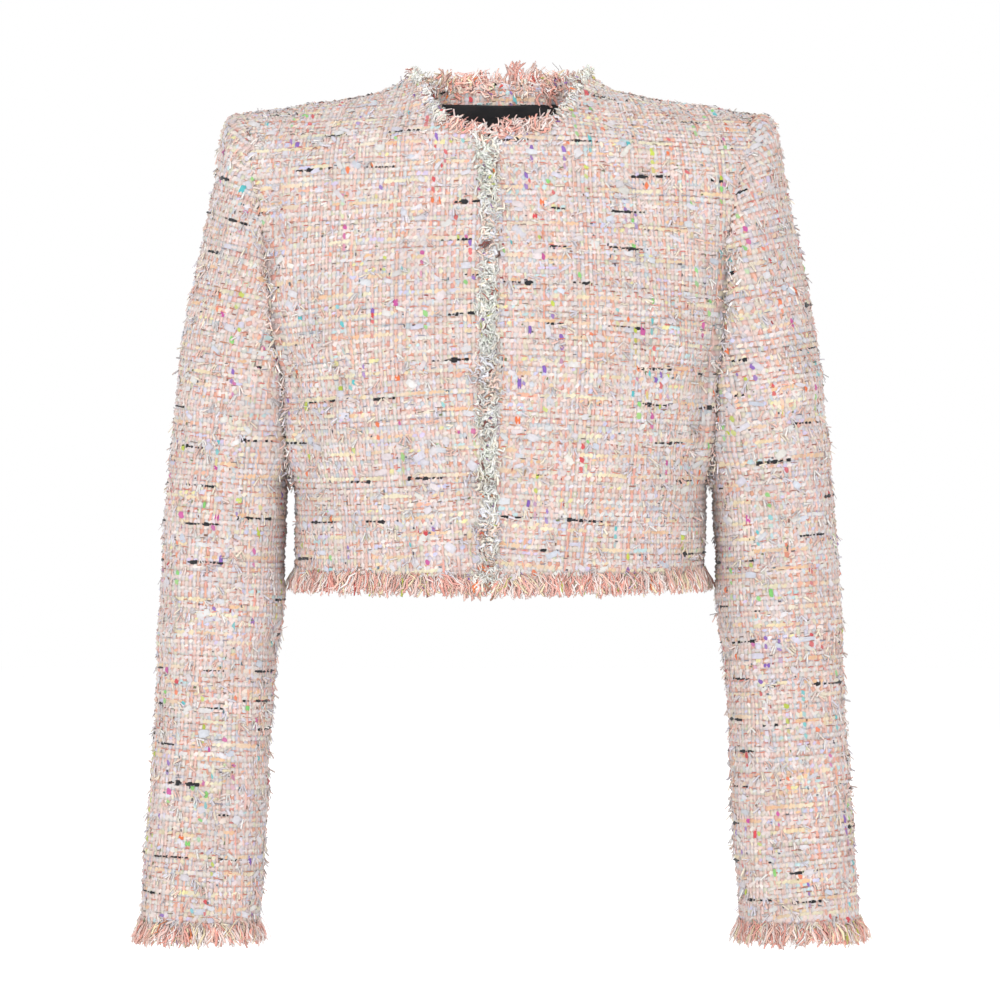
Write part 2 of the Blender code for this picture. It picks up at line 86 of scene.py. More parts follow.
MM = 0.001
UP = np.array((0.0, 0.0, 1.0))
UPRIGHT = math.pi / 2  # a quarter turn, from across the cloth to up it


def dice(name):
    """A random generator that belongs to one piece."""
    return np.random.default_rng(zlib.crc32(name.encode()))


def unit(vectors):
    return vectors / np.maximum(np.linalg.norm(vectors, axis=-1, keepdims=True), 1e-12)


def wedge(one, other):
    """The area, with its sign, of the parallelogram on two flat vectors."""
    return one[..., 0] * other[..., 1] - one[..., 1] * other[..., 0]


def eased(values, start, end):
    """From 0 at the start to 1 at the end, smoothly."""
    t = np.clip((values - start) / (end - start), 0, 1)
    return t * t * (3 - 2 * t)


def linear(red, green, blue):
    """A colour written in sRGB steps of 255, as the linear numbers that Blender uses."""
    steps = np.array((red, green, blue)) / 255
    return np.where(steps <= 0.04045, steps / 12.92, ((steps + 0.055) / 1.055) ** 2.4)


def palette(*colours):
    return np.array([linear(*colour) for colour in colours])


print("a millimetre is", MM)

# %% [markdown]
# ## Shader maths as expressions
#
# A material is a graph of nodes. Writing it as sums and products is shorter and
# easier to read, so a small class wraps a node's output socket, and each
# operator on it adds the Math node that works it out.

# %% Shader maths as expressions
class Value:
    """An output socket that adds Math nodes when it is used in an expression."""

    def __init__(self, graph, socket):
        self.graph, self.socket = graph, socket

    def maths(self, operation, *others, swap=False):
        terms = dict(enumerate([*others, self] if swap else [self, *others]))
        return self.graph.add("ShaderNodeMath", {"operation": operation}, terms)

    def __add__(self, other):
        return self.maths("ADD", other)

    def __sub__(self, other):
        return self.maths("SUBTRACT", other)

    def __rsub__(self, other):
        return self.maths("SUBTRACT", other, swap=True)

    def __mul__(self, other):
        return self.maths("MULTIPLY", other)

    def __truediv__(self, other):
        return self.maths("DIVIDE", other)

    __radd__, __rmul__ = __add__, __mul__


# %% [markdown]
# The graph itself has one method that adds any node, and a few short ones for
# the nodes that every finish here needs: the place on the piece, one of its own
# maps, a noise, a lighter or darker colour, and a bump.

# %% The graph of a material
class Graph:
    """The node graph of one material."""

    def __init__(self, name):
        self.material = bpy.data.materials.new(name)
        self.material.use_nodes = True
        self.tree = self.material.node_tree
        self.shader = self.tree.nodes["Principled BSDF"]

    def add(self, kind, settings=None, links=None, output=0):
        """A node of a kind, with its settings made first and then its sockets filled."""
        node = self.tree.nodes.new(kind)
        for key, setting in (settings or {}).items():
            if key == "stops":
                ramp = node.color_ramp
                while len(ramp.elements) < len(setting):
                    ramp.elements.new(1)
                for element, (place, colour) in zip(ramp.elements, setting):
                    element.position, element.color = place, (*colour, 1)
            else:
                setattr(node, key, setting)
        for socket, value in (links or {}).items():
            self.fill(node.inputs[socket], value)
        return Value(self, node.outputs[output])

    def fill(self, socket, value):
        if isinstance(value, Value):
            self.tree.links.new(value.socket, socket)
        else:
            socket.default_value = value

    def set(self, **sockets):
        """Fill the shader's own sockets: Base_Color stands for Base Color."""
        for name, value in sockets.items():
            self.fill(self.shader.inputs[name.replace("_", " ")], value)

    def place(self):
        """Object coordinates, in metres."""
        return self.add("ShaderNodeTexCoord", output=3)

    def own_map(self, name):
        """The two coordinates of one of the piece's own maps."""
        both = self.add("ShaderNodeUVMap", {"uv_map": name})
        first = self.add("ShaderNodeSeparateXYZ", None, {0: both})
        return first, Value(self, first.socket.node.outputs[1])

    def noise(self, place, scale, detail):
        links = {"Vector": place, "Scale": scale, "Detail": detail}
        return self.add("ShaderNodeTexNoise", None, links)

    def tinted(self, colour, factor):
        """A colour made lighter or darker by a factor."""
        grey = self.add("ShaderNodeCombineXYZ", None, {0: factor, 1: factor, 2: factor})
        return self.add("ShaderNodeVectorMath", {"operation": "MULTIPLY"}, {0: colour, 1: grey})

    def bumped(self, height, distance, strength):
        links = {"Height": height, "Distance": distance, "Strength": strength}
        return self.add("ShaderNodeBump", None, links)


print("shader tools ready")

# %% [markdown]
# ## Yarn finishes
#
# Boucle yarn is soft, hairy and matt. Each raised yarn carries its own dyed
# colour in an attribute. The finish adds what is too small to model: the twist
# of the ply, which a map along and across the yarn places, a fuzz of fibres,
# an uneven dye, and broad clouds where the nap lies another way. A little sheen
# lights the fuzz where it turns away.

# %% Yarn finishes
TWIST_PITCH = 1.3  # one turn of the ply
TWIST_SLANT = 0.8  # how far a turn leans as it crosses the yarn
FIBRE = 0.35
PATCHES, CLOUDS = 420.0, 42.0  # how often in a metre the dye changes, and the nap's lie
CLOUDY = 0.45  # how much the clouds change the lightness


def yarn_finish(name, sheen, fuzz, uneven):
    """A matt, hairy finish for yarns that carry their own colour."""
    graph = Graph(name)
    dyed = graph.add("ShaderNodeAttribute", {"attribute_name": "dye"})
    along, across = graph.own_map("run")
    turns = (along + across * TWIST_SLANT) * (2 * math.pi / (TWIST_PITCH * MM))
    twist = turns.maths("SINE")
    place = graph.place()
    fibres = graph.noise(place, 1 / (FIBRE * MM), 3.0)
    patches, clouds = graph.noise(place, PATCHES, 2.0), graph.noise(place, CLOUDS, 2.0)
    light = 1 + (clouds - 0.5) * CLOUDY + (patches - 0.5) * uneven
    light = light + twist * 0.035 + (fibres - 0.5) * 0.12
    graph.set(
        Base_Color=graph.tinted(dyed, light),
        Roughness=0.86 + (fibres - 0.5) * 0.2,
        Normal=graph.bumped(twist * 0.35 + fibres * fuzz, 0.4 * MM, 0.6),
        Sheen_Weight=sheen,
        Sheen_Roughness=0.6,
        Specular_IOR_Level=0.25,
    )
    return graph.material


tweed_yarn = yarn_finish("dyed boucle yarn", sheen=0.25, fuzz=0.9, uneven=0.3)
coral_ends = yarn_finish("frayed coral warp ends", sheen=0.3, fuzz=1.0, uneven=0.2)
pale_ends = yarn_finish("frayed pale weft ends", sheen=0.3, fuzz=1.0, uneven=0.15)
eyelash = yarn_finish("pale eyelash ribbon", sheen=0.35, fuzz=0.7, uneven=0.12)
print("yarn finishes made")

# %% [markdown]
# ## The weave
#
# The tweed is a loose plain weave. Thin coral ends alternate with thick pale
# ones down the cloth, and thick pale picks cross them, with finer salmon and
# grey picks here and there, two yellow or orange picks in each repeat, and a
# beaded black one under the first of them. The sizes and the dyes follow.

# %% The sizes and dyes of the weave
END_PITCH = 2.97  # from one end to the next
PICK_PITCH = 4.05  # from one thick pick to the next
REPEAT = 7  # picks in a repeat
WOVEN = 0.73  # how much of a swatch's lightness is left once it is woven
MUTED = 0.84  # ribbons and the coloured runs are less bright than their swatches
YARNS = {
    # name: half length, half width, height, how deep its ends dip
    "coral end": (3.5, 0.78, 1.3, 0.6),
    "pale end": (2.9, 1.2, 0.9, 0.5),
    "pick": (2.7, 1.55, 0.95, 0.55),
    "fine pick": (2.9, 0.34, 1.2, 0.5),
    "fleck": (0.9, 0.5, 1.3, -0.9),
    "black bead": (1.35, 0.85, 1.6, 0.1),
    "slub": (2.6, 1.6, 1.7, 0.1),
    "ribbon": (3.6, 2.0, 1.6, -0.8),
    "stitch": (1.05, 0.24, 0.3, 0.3),
}

# the thick yarns, which make up the ground
CORALS = palette(
    (238, 182, 166), (240, 206, 194), (236, 190, 184), (236, 178, 150), (238, 168, 156),
    (242, 216, 206), (224, 184, 168), (238, 192, 180), (240, 210, 204), (240, 200, 172),
)
PALES = palette(
    (234, 224, 220), (236, 212, 206), (218, 214, 232), (230, 222, 220), (238, 222, 190),
    (206, 218, 224), (236, 212, 208), (224, 224, 194), (236, 226, 222), (234, 200, 192),
)
PICKS = palette(
    (236, 226, 222), (236, 214, 208), (238, 226, 212), (224, 218, 232), (238, 204, 194),
    (238, 230, 226), (226, 218, 218), (240, 218, 202), (216, 222, 232), (236, 222, 218),
)

# the coloured runs in the picks, and the ribbons
YELLOWS = palette(
    (255, 246, 214), (255, 238, 200), (255, 220, 188),
    (252, 242, 222), (255, 204, 164), (255, 240, 210),
)
PASTELS = palette(
    (255, 210, 168), (226, 224, 255), (255, 246, 184), (212, 240, 242),
    (255, 196, 170), (236, 220, 252), (255, 230, 190),
)
RIBBONS = palette(
    (232, 228, 246), (246, 242, 246), (246, 232, 234), (226, 232, 246), (248, 244, 236)
)

# the thin and small ones
FINES = palette(
    (222, 140, 122), (206, 124, 108), (228, 156, 140), (160, 108, 96), (150, 148, 160),
    (214, 132, 116), (232, 166, 146), (136, 120, 112), (196, 136, 104), (216, 120, 112),
)
FLECKS = palette(
    (112, 104, 108), (140, 106, 88), (104, 122, 132), (120, 128, 88),
    (166, 84, 84), (90, 86, 96), (184, 150, 120),
)
SPECKS = palette(
    (214, 74, 82), (136, 96, 186), (190, 206, 74), (92, 196, 202),
    (138, 212, 118), (202, 84, 158), (242, 122, 70),
)
BLACK = linear(26, 26, 32)
print(len(YARNS), "kinds of yarn")

# %% [markdown]
# ## Cutting each shell from its wall
#
# Each CAD wall is a closed solid, and only its outer skin is needed: the shell
# gets its own thickness later. A copy's doubles are merged, and the skin is
# selected from one face that looks outwards, as far as the faces stay nearly
# flat to each other. The rest is deleted, its triangles are paired into quads,
# and a subdivision makes them small enough for creases.

# %% Cut a skin from a wall
OUTWARD = {
    # node: the way its outer skin looks
    "front_left": (0, -1, 0),
    "front_right": (0, -1, 0),
    "back": (0, 1, 0),
    "sleeve_top_left": (1, 0, 0),
    "sleeve_under_left": (-1, 0, 0),
    "sleeve_top_right": (-1, 0, 0),
    "sleeve_under_right": (1, 0, 0),
}
DOUBLED = 0.01  # points nearer to each other than this are one
RIM_ANGLE = math.radians(55)  # a skin ends where the wall turns by more than this
PAIR_ANGLE, PAIR_SKEW = math.radians(60), math.radians(90)  # limits for pairing triangles
FAR_OUT = 3  # what a metre outwards counts for against a face's turn, for the first face
FINER = 2  # subdivisions


def choose(thing):
    """Leave one object selected and active, and nothing else."""
    bpy.ops.object.select_all(action="DESELECT")
    thing.select_set(True)
    bpy.context.view_layer.objects.active = thing


def edit_only(thing):
    """Open one mesh for editing."""
    choose(thing)
    bpy.ops.object.mode_set(mode="EDIT")
    bpy.ops.mesh.select_mode(type="FACE")


def new_object(name, data):
    thing = bpy.data.objects.new(name, data)
    bpy.context.scene.collection.objects.link(thing)
    return thing


def cut_skin(node):
    """The outer skin of a wall as an open mesh of small quads."""
    skin = new_object("cloth_" + node, nodes[node].data.copy())
    edit_only(skin)
    bpy.ops.mesh.select_all(action="SELECT")
    bpy.ops.mesh.remove_doubles(threshold=DOUBLED * MM)
    bpy.ops.mesh.select_all(action="DESELECT")
    edited = bmesh.from_edit_mesh(skin.data)
    outward = Vector(OUTWARD[node])

    def outness(face):
        return face.normal.dot(outward) + FAR_OUT * face.calc_center_median().dot(outward)

    max(edited.faces, key=outness).select = True
    bmesh.update_edit_mesh(skin.data)
    bpy.ops.mesh.faces_select_linked_flat(sharpness=RIM_ANGLE)
    bpy.ops.mesh.select_all(action="INVERT")
    bpy.ops.mesh.delete(type="FACE")
    bpy.ops.mesh.select_all(action="SELECT")
    bpy.ops.mesh.tris_convert_to_quads(face_threshold=PAIR_ANGLE, shape_threshold=PAIR_SKEW)
    bpy.ops.object.mode_set(mode="OBJECT")
    skin.data.materials.clear()
    finer = skin.modifiers.new("finer", "SUBSURF")
    finer.levels = finer.render_levels = FINER
    finer.boundary_smooth = "PRESERVE_CORNERS"
    bpy.ops.object.modifier_apply(modifier=finer.name)
    return skin


skins = {node: cut_skin(node) for node in OUTWARD}
for node, skin in skins.items():
    print(node, len(skin.data.polygons), "faces")

# %% [markdown]
# ## The flat pattern
#
# A tailor cuts each piece flat, with its grain upright. Unwrapping a skin gives
# that flat piece back: it is scaled until its area is the skin's own, and
# turned until its grain runs as the cloth hangs. A place on the flat piece can
# then be found again on the skin, which is how the yarns are laid later.

# %% Unwrap a skin into its flat pattern
GRAIN_STRIP = 90  # half width of the strip whose grain sets how a pattern is turned
RIM_REACH = 1.5  # how far beyond its rim a pattern still takes a yarn


def vertex_array(mesh, name="co"):
    values = np.zeros(len(mesh.vertices) * 3, np.float32)
    mesh.vertices.foreach_get(name, values)
    return values.reshape(-1, 3).astype(float)


def sides_of(corners):
    """Two sides of each triangle, given as corners of (triangle, corner, axis)."""
    return corners[:, 1] - corners[:, 0], corners[:, 2] - corners[:, 0]


class Pattern:
    """A skin's flat pattern, and the way back from a place on it to the skin."""

    def __init__(self, node, skin):
        self.node, self.skin = node, skin
        self.unwrap()
        self.map_back()

    def unwrap(self):
        mesh = self.skin.data
        edit_only(self.skin)
        bpy.ops.mesh.select_all(action="SELECT")
        bpy.ops.uv.unwrap(method="ANGLE_BASED", margin=0)
        bpy.ops.object.mode_set(mode="OBJECT")
        layer = mesh.uv_layers.active
        layer.name = "flat"
        loops = np.zeros(len(mesh.loops) * 2, np.float32)
        layer.data.foreach_get("uv", loops)
        owners = np.zeros(len(mesh.loops), np.int32)
        mesh.loops.foreach_get("vertex_index", owners)
        flat = np.zeros((len(mesh.vertices), 2))
        flat[owners] = loops.reshape(-1, 2)
        mesh.calc_loop_triangles()
        self.triangles = np.array([t.vertices[:] for t in mesh.loop_triangles])
        points = vertex_array(mesh)
        areas = np.linalg.norm(np.cross(*sides_of(points[self.triangles])), axis=1) / 2
        flat_areas = np.abs(wedge(*sides_of(flat[self.triangles]))) / 2
        flat *= math.sqrt(areas.sum() / flat_areas.sum())
        self.flat = self.turned(flat, points)
        layer.data.foreach_set("uv", self.flat[owners].astype(np.float32).ravel())
        self.size = np.ptp(self.flat, axis=0)
        self.area = areas.sum()

    def turned(self, flat, points):
        """Turn the pattern until its across and up lie best on across and up in space."""
        aside = np.cross(UP, np.array(OUTWARD[self.node], float))
        target = np.stack((points @ aside, points[:, 2]), axis=1)
        strip = np.abs(target[:, 0]) < GRAIN_STRIP * MM
        centre, goal = flat[strip].mean(axis=0), target[strip].mean(axis=0)
        one, other = flat[strip] - centre, target[strip] - goal
        turn = math.atan2(wedge(one, other).sum(), np.sum(one * other))
        sine, cosine = math.sin(turn), math.cos(turn)
        return (flat - centre) @ np.array(((cosine, -sine), (sine, cosine))).T + goal

    def map_back(self):
        """Look at the skin as it now is: its places, its normals and its grain."""
        mesh = self.skin.data
        mesh.update()
        self.points = vertex_array(mesh)
        self.normals = vertex_array(mesh, "normal")
        one, other = sides_of(self.flat[self.triangles])
        edge, edge_two = sides_of(self.points[self.triangles])
        across = (edge * other[:, 1:2] - edge_two * one[:, 1:2]) / wedge(one, other)[:, None]
        self.across = np.zeros_like(self.points)
        for corner in range(3):
            np.add.at(self.across, self.triangles[:, corner], across)
        self.across = unit(self.across)
        self.tree = BVHTree.FromPolygons([(u, v, 0) for u, v in self.flat], self.triangles.tolist())

    def move(self, points):
        """Put the skin's points elsewhere."""
        self.skin.data.vertices.foreach_set("co", points.astype(np.float32).ravel())
        self.map_back()

    def lay(self, places, beyond=RIM_REACH):
        """Which places lie on the pattern, and their points, normals, across and up in space."""
        hits = [self.tree.find_nearest(Vector((u, v, 0)), beyond * MM)[2] for u, v in places]
        on = np.array([hit is not None for hit in hits], bool)
        chosen = self.triangles[[hit for hit in hits if hit is not None]]
        a, b, c = (self.flat[chosen[:, k]] for k in range(3))
        second = wedge(places[on] - a, c - a) / wedge(b - a, c - a)
        third = wedge(b - a, places[on] - a) / wedge(b - a, c - a)
        shares = np.stack((1 - second - third, second, third), axis=1)[:, :, None]
        points, normals, across = (
            (values[chosen] * shares).sum(axis=1)
            for values in (self.points, self.normals, self.across)
        )
        normals = unit(normals)
        across = unit(across - normals * np.sum(across * normals, axis=1, keepdims=True))
        return on, points, normals, across, np.cross(normals, across)


patterns = {node: Pattern(node, skin) for node, skin in skins.items()}
for node, pattern in patterns.items():
    print(node, "flat", (pattern.size * 1000).round(), "mm, area", round(pattern.area, 4), "m2")

# %% [markdown]
# ## The fall of the sleeves
#
# An empty sleeve hangs a little flat, so the corners of its section fill out
# while its widths stay as they are. The section is read at each height as a
# middle and two half sizes, and every point is moved out from that middle.

# %% Fill out the sleeves
FULLER = 0.09  # how much the corners of a sleeve's section are filled out
FLAT_FROM = (150, 230)  # how far down a sleeve this starts, and is whole
SLICE = 12


def section_of(*names):
    """The middles and half sizes of a tube, at each of some heights."""
    tube = np.concatenate([patterns[name].points for name in names])
    heights = np.arange(-640, -120, SLICE)
    slices = [tube[np.abs(tube[:, 2] / MM - height) < SLICE][:, :2] for height in heights]
    low, high = (
        np.array([reduce(part, axis=0) for part in slices]) for reduce in (np.min, np.max)
    )
    return heights, (low + high) / 2, (high - low) / 2


SLEEVES = {
    side: section_of("sleeve_top_" + side, "sleeve_under_" + side) for side in ("left", "right")
}


def across_sleeve(node, points):
    """Places in a sleeve's section, from -1 to 1 both ways, and its half sizes there."""
    heights, middles, halves = SLEEVES["left" if node.endswith("left") else "right"]
    middle, half = (
        np.stack(
            [np.interp(points[:, 2] / MM, heights, values[:, axis]) for axis in (0, 1)], axis=1
        )
        for values in (middles, halves)
    )
    return (points[:, :2] - middle) / half, half


def fill_corners(node, points):
    """Fill out the corners of a sleeve's section, and leave its widths as they are."""
    away, half = across_sleeve(node, points)
    # this is 1 halfway between the axes of the section, and 0 on them
    corner = (2 * away[:, 0] * away[:, 1] / np.sum(away ** 2, axis=1)) ** 2
    share = FULLER * corner * eased(-points[:, 2] / MM, *FLAT_FROM)
    moved = points.copy()
    moved[:, :2] += away * half * share[:, None]
    return moved


for node, pattern in patterns.items():
    if "sleeve" in node:
        pattern.move(fill_corners(node, pattern.points))
        print(node, "hangs a little flat")

# %% [markdown]
# ## Where the sleeves meet the sides
#
# Under the armholes a sleeve and the side of the body lie against each other,
# and soft cloth gives way there: both flatten, so that they meet nearer the
# front and the back. A ray from each point across the gap finds how far apart
# they are, and each side goes a little less than half of the way. Further down
# the sleeve comes free, and both give way a little the other way.

# %% Press the sleeves and the sides together
MOST_PRESS = 8.0
CLEAR = 1.2  # what each side keeps free of the middle of the gap
ROOM = (-275, -305)  # over these heights the sleeves come free of the sides
SET_BACK = 1.5  # how much each side gives way below them


def tree_of(sleeves):
    """All the skins of the sleeves, or of the body, as one tree."""
    points, triangles = [], []
    for node, pattern in patterns.items():
        if node.startswith("sleeve") == sleeves:
            triangles.extend((pattern.triangles + len(points)).tolist())
            points.extend(pattern.points.tolist())
    return BVHTree.FromPolygons(points, triangles)


# for a sleeve, the other part is the body, and for the body, the sleeves
other_part = {True: tree_of(False), False: tree_of(True)}


def beside(node, points, reach=40):
    """How near each point is to the other part."""
    tree = other_part[node.startswith("sleeve")]
    found = [tree.find_nearest(Vector(point), reach * MM)[3] for point in points]
    return np.array([reach if gap is None else gap / MM for gap in found])


def press_together(node, points):
    """Move the faces that look at the other part towards it."""
    sleeve, side = node.startswith("sleeve"), np.sign(points[:, 0])
    if sleeve:
        toward = -side
        faces = eased(across_sleeve(node, points)[0][:, 0] * toward, 0.0, 0.5)
    else:
        toward, faces = side, eased(np.abs(points[:, 0]) / MM, 70, 120)
    fall = points[:, 2] / MM
    share = faces * eased(-fall, 110, 160) * eased(fall, -304, -274)
    for k in np.flatnonzero(share > 0):
        ray = Vector((toward[k], 0, 0))
        gap = other_part[sleeve].ray_cast(Vector(points[k]), ray, 50 * MM)[3]
        if gap is not None:
            reach = min(max(gap / MM / 2 - CLEAR, 0), MOST_PRESS)
            reach *= 1 - eased(gap / MM, 14, 50)
            points[k, 0] += toward[k] * reach * share[k] * MM
    return points


print("sleeves come free of the sides below", ROOM[0], "mm")

# %% [markdown]
# ## Creases
#
# The largest folds are in the solids. Smaller ones belong to the looks: soft
# pulls out of the armholes, dents in the crook of the elbow, and a slow
# unevenness all over, because tweed never lies quite flat. Each row of the
# table is one crease, placed on the flat pattern.

# %% Where the creases lie
CREASES = (
    # node, across, up, lean, half length, half width, height
    ("front_left", 128, -196, -58, 34, 7, 2.5),
    ("front_left", 116, -214, -52, 32, 6, -2.4),
    ("front_left", 142, -252, -46, 34, 7, 2.3),
    ("front_left", 150, -282, -30, 32, 7, -2.2),
    ("front_left", 128, -300, -20, 38, 8, 1.8),
    ("front_left", 96, -60, -12, 38, 9, -1.6),
    ("front_left", 60, -330, 6, 40, 10, 1.5),
    ("front_left", 168, -70, -80, 34, 6, -1.6),
    ("front_left", 30, -150, 4, 30, 12, -1.2),
    ("front_right", -126, -204, 60, 32, 7, 2.1),
    ("front_right", -112, -222, 54, 30, 6, -2.0),
    ("front_right", -140, -280, 50, 30, 7, 1.9),
    ("front_right", -124, -306, 24, 36, 8, -1.6),
    ("front_right", -92, -66, 14, 36, 9, -1.6),
    ("front_right", -66, -322, -8, 38, 10, 1.4),
    ("front_right", -166, -80, 80, 34, 6, -1.5),
    ("back", 128, -190, -56, 36, 7, 2.3),
    ("back", 118, -212, -50, 34, 6, -2.0),
    ("back", -124, -198, 58, 34, 7, 2.2),
    ("back", -112, -220, 50, 32, 6, -1.9),
    ("back", 96, -120, -30, 44, 9, -1.7),
    ("back", -90, -126, 34, 42, 9, -1.6),
    ("back", 10, -60, 4, 50, 10, -1.4),
    ("back", -30, -300, -6, 56, 11, 1.8),
    ("back", 60, -336, 8, 44, 9, -1.5),
    ("sleeve_top_left", -58, -228, 18, 34, 7, 2.0),
    ("sleeve_top_left", -62, -247, 14, 32, 6, -1.9),
    ("sleeve_top_left", -52, -272, 20, 32, 7, 1.8),
    ("sleeve_top_left", -60, -330, 10, 34, 8, -1.4),
    ("sleeve_top_left", -54, -398, -8, 38, 8, 1.9),
    ("sleeve_top_left", -62, -420, -14, 34, 7, -1.8),
    ("sleeve_top_left", -40, -520, 8, 36, 9, 1.3),
    ("sleeve_top_left", 52, -256, -16, 36, 8, 1.8),
    ("sleeve_top_left", 48, -404, 10, 38, 8, 1.7),
    ("sleeve_under_left", 22, -300, -14, 30, 7, 1.6),
    ("sleeve_under_left", 18, -404, 12, 32, 7, 1.8),
    ("sleeve_under_left", 24, -426, 16, 30, 6, -1.6),
    ("sleeve_top_right", 60, -236, -16, 34, 7, 1.9),
    ("sleeve_top_right", 56, -258, -20, 32, 6, -1.7),
    ("sleeve_top_right", 62, -318, -10, 34, 8, 1.5),
    ("sleeve_top_right", 52, -388, 10, 38, 8, -1.8),
    ("sleeve_top_right", 60, -412, 16, 34, 7, 1.9),
    ("sleeve_top_right", 42, -536, -8, 36, 9, -1.3),
    ("sleeve_top_right", -50, -262, 16, 36, 8, 1.8),
    ("sleeve_top_right", -46, -400, -12, 38, 8, 1.7),
    ("sleeve_under_right", -20, -296, 14, 30, 7, -1.5),
    ("sleeve_under_right", -22, -398, -12, 32, 7, 1.8),
    ("sleeve_under_right", -18, -420, -16, 30, 6, -1.6),
)
SWELLS = 14  # slow waves that cross each panel
SWELL_LENGTHS = (26, 75)
SWELL_HEIGHT = 0.13
print("creases:", len(CREASES))

# %% [markdown]
# A crease is a long, low bump that dies away on all sides, like a bell. The
# heights of all the bells and the slow waves are added up at each point, and
# the point moves that far along its normal.

# %% Push the creases into the skins
def crease_heights(node, across, up):
    """How far the creases and the slow waves move each place on a pattern."""
    height = np.zeros(len(across))
    rows = (row[1:] for row in CREASES if row[0] == node)
    for u, v, lean, half_length, half_width, deep in rows:
        turn = math.radians(lean)
        lengthwise = (across - u) * math.cos(turn) + (up - v) * math.sin(turn)
        crosswise = (up - v) * math.cos(turn) - (across - u) * math.sin(turn)
        height += deep * np.exp(-((lengthwise / half_length) ** 2) - (crosswise / half_width) ** 2)
    draw = dice(node + " creases")
    for _ in range(SWELLS):
        length = draw.uniform(*SWELL_LENGTHS)
        turn, start = draw.uniform(0, math.tau), draw.uniform(0, math.tau)
        forward = across * math.cos(turn) + up * math.sin(turn)
        height += SWELL_HEIGHT * np.sin(forward * math.tau / length + start)
    return height


def push_creases(pattern):
    """Move a skin's points in and out along their normals."""
    height = crease_heights(pattern.node, *(pattern.flat / MM).T)
    gap, fall = beside(pattern.node, pattern.points), pattern.points[:, 2] / MM
    height -= SET_BACK * eased(-gap, -18, -6) * eased(-fall, -ROOM[0], -ROOM[1])
    pushed = pattern.points + pattern.normals * height[:, None] * MM
    pattern.move(press_together(pattern.node, pushed))


for pattern in patterns.values():
    push_creases(pattern)
    print(pattern.node, "creased")

# %% [markdown]
# ## Laying the yarns
#
# Modelling every yarn from end to end would spend most of its faces where the
# yarn is hidden under its neighbours. What shows is each float, the stretch
# where a yarn passes over another, so each float is a small pillow of four
# faces whose ends dip into the cloth. They are placed on the flat pattern by
# the plain weave's rule, an end on top at one crossing and a pick on top at
# the next, and then carried onto the skin.

# %% Shape one float
# one float: 3 points along and 3 across, with its height at each
ALONG, ACROSS = (grid.ravel() for grid in np.meshgrid((-1, 0, 1), (-1, 0, 1), indexing="ij"))
FLOAT_QUADS = np.array([(0, 1, 4, 3), (1, 2, 5, 4), (3, 4, 7, 6), (4, 5, 8, 7)])


def mesh_of(name, points, faces, dye, run, material):
    """One joined mesh with a dye at each point and a map along and across the yarns."""
    mesh = bpy.data.meshes.new(name)
    mesh.from_pydata(points, [], faces)
    dyed = mesh.attributes.new("dye", "FLOAT_COLOR", "POINT").data
    opaque = np.concatenate((dye.clip(0, 1), np.ones((len(dye), 1))), axis=1)
    dyed.foreach_set("color", opaque.astype(np.float32).ravel())
    owners = np.zeros(len(mesh.loops), np.int32)
    mesh.loops.foreach_get("vertex_index", owners)
    layer = mesh.uv_layers.new(name="run")
    layer.data.foreach_set("uv", run[owners].astype(np.float32).ravel())
    mesh.materials.append(material)
    mesh.shade_smooth()
    return new_object(name, mesh)


print("a float has", len(ALONG), "points")

# %% [markdown]
# A long list of floats is collected first, as places on the flat pattern, and
# then built in one go: numpy works out the corners of thousands of pillows at
# once, which is why the mesh isn't made with a modifier or by hand.

# %% Collect floats and carry them onto the skin
ROUND = 1.2  # how far a yarn's sides lie below its crown, in half widths
MOST_ROUND = 1.1  # and the most that is
NARROW_END = 0.8
SUNK = 0.9  # how much of its dip an end takes
# painted light and shade on a float: its crown lighter, its flanks and its dipped ends darker
CROWN, FLANK, END = 1.02, 0.98, 0.92  # how light a float is there
LUMPY = 0.11  # how far a corner strays
WANDER = 0.09  # how far a float turns away from its yarn, in radians
APART = 7  # how far from the last one a float's run starts on the map, in millimetres


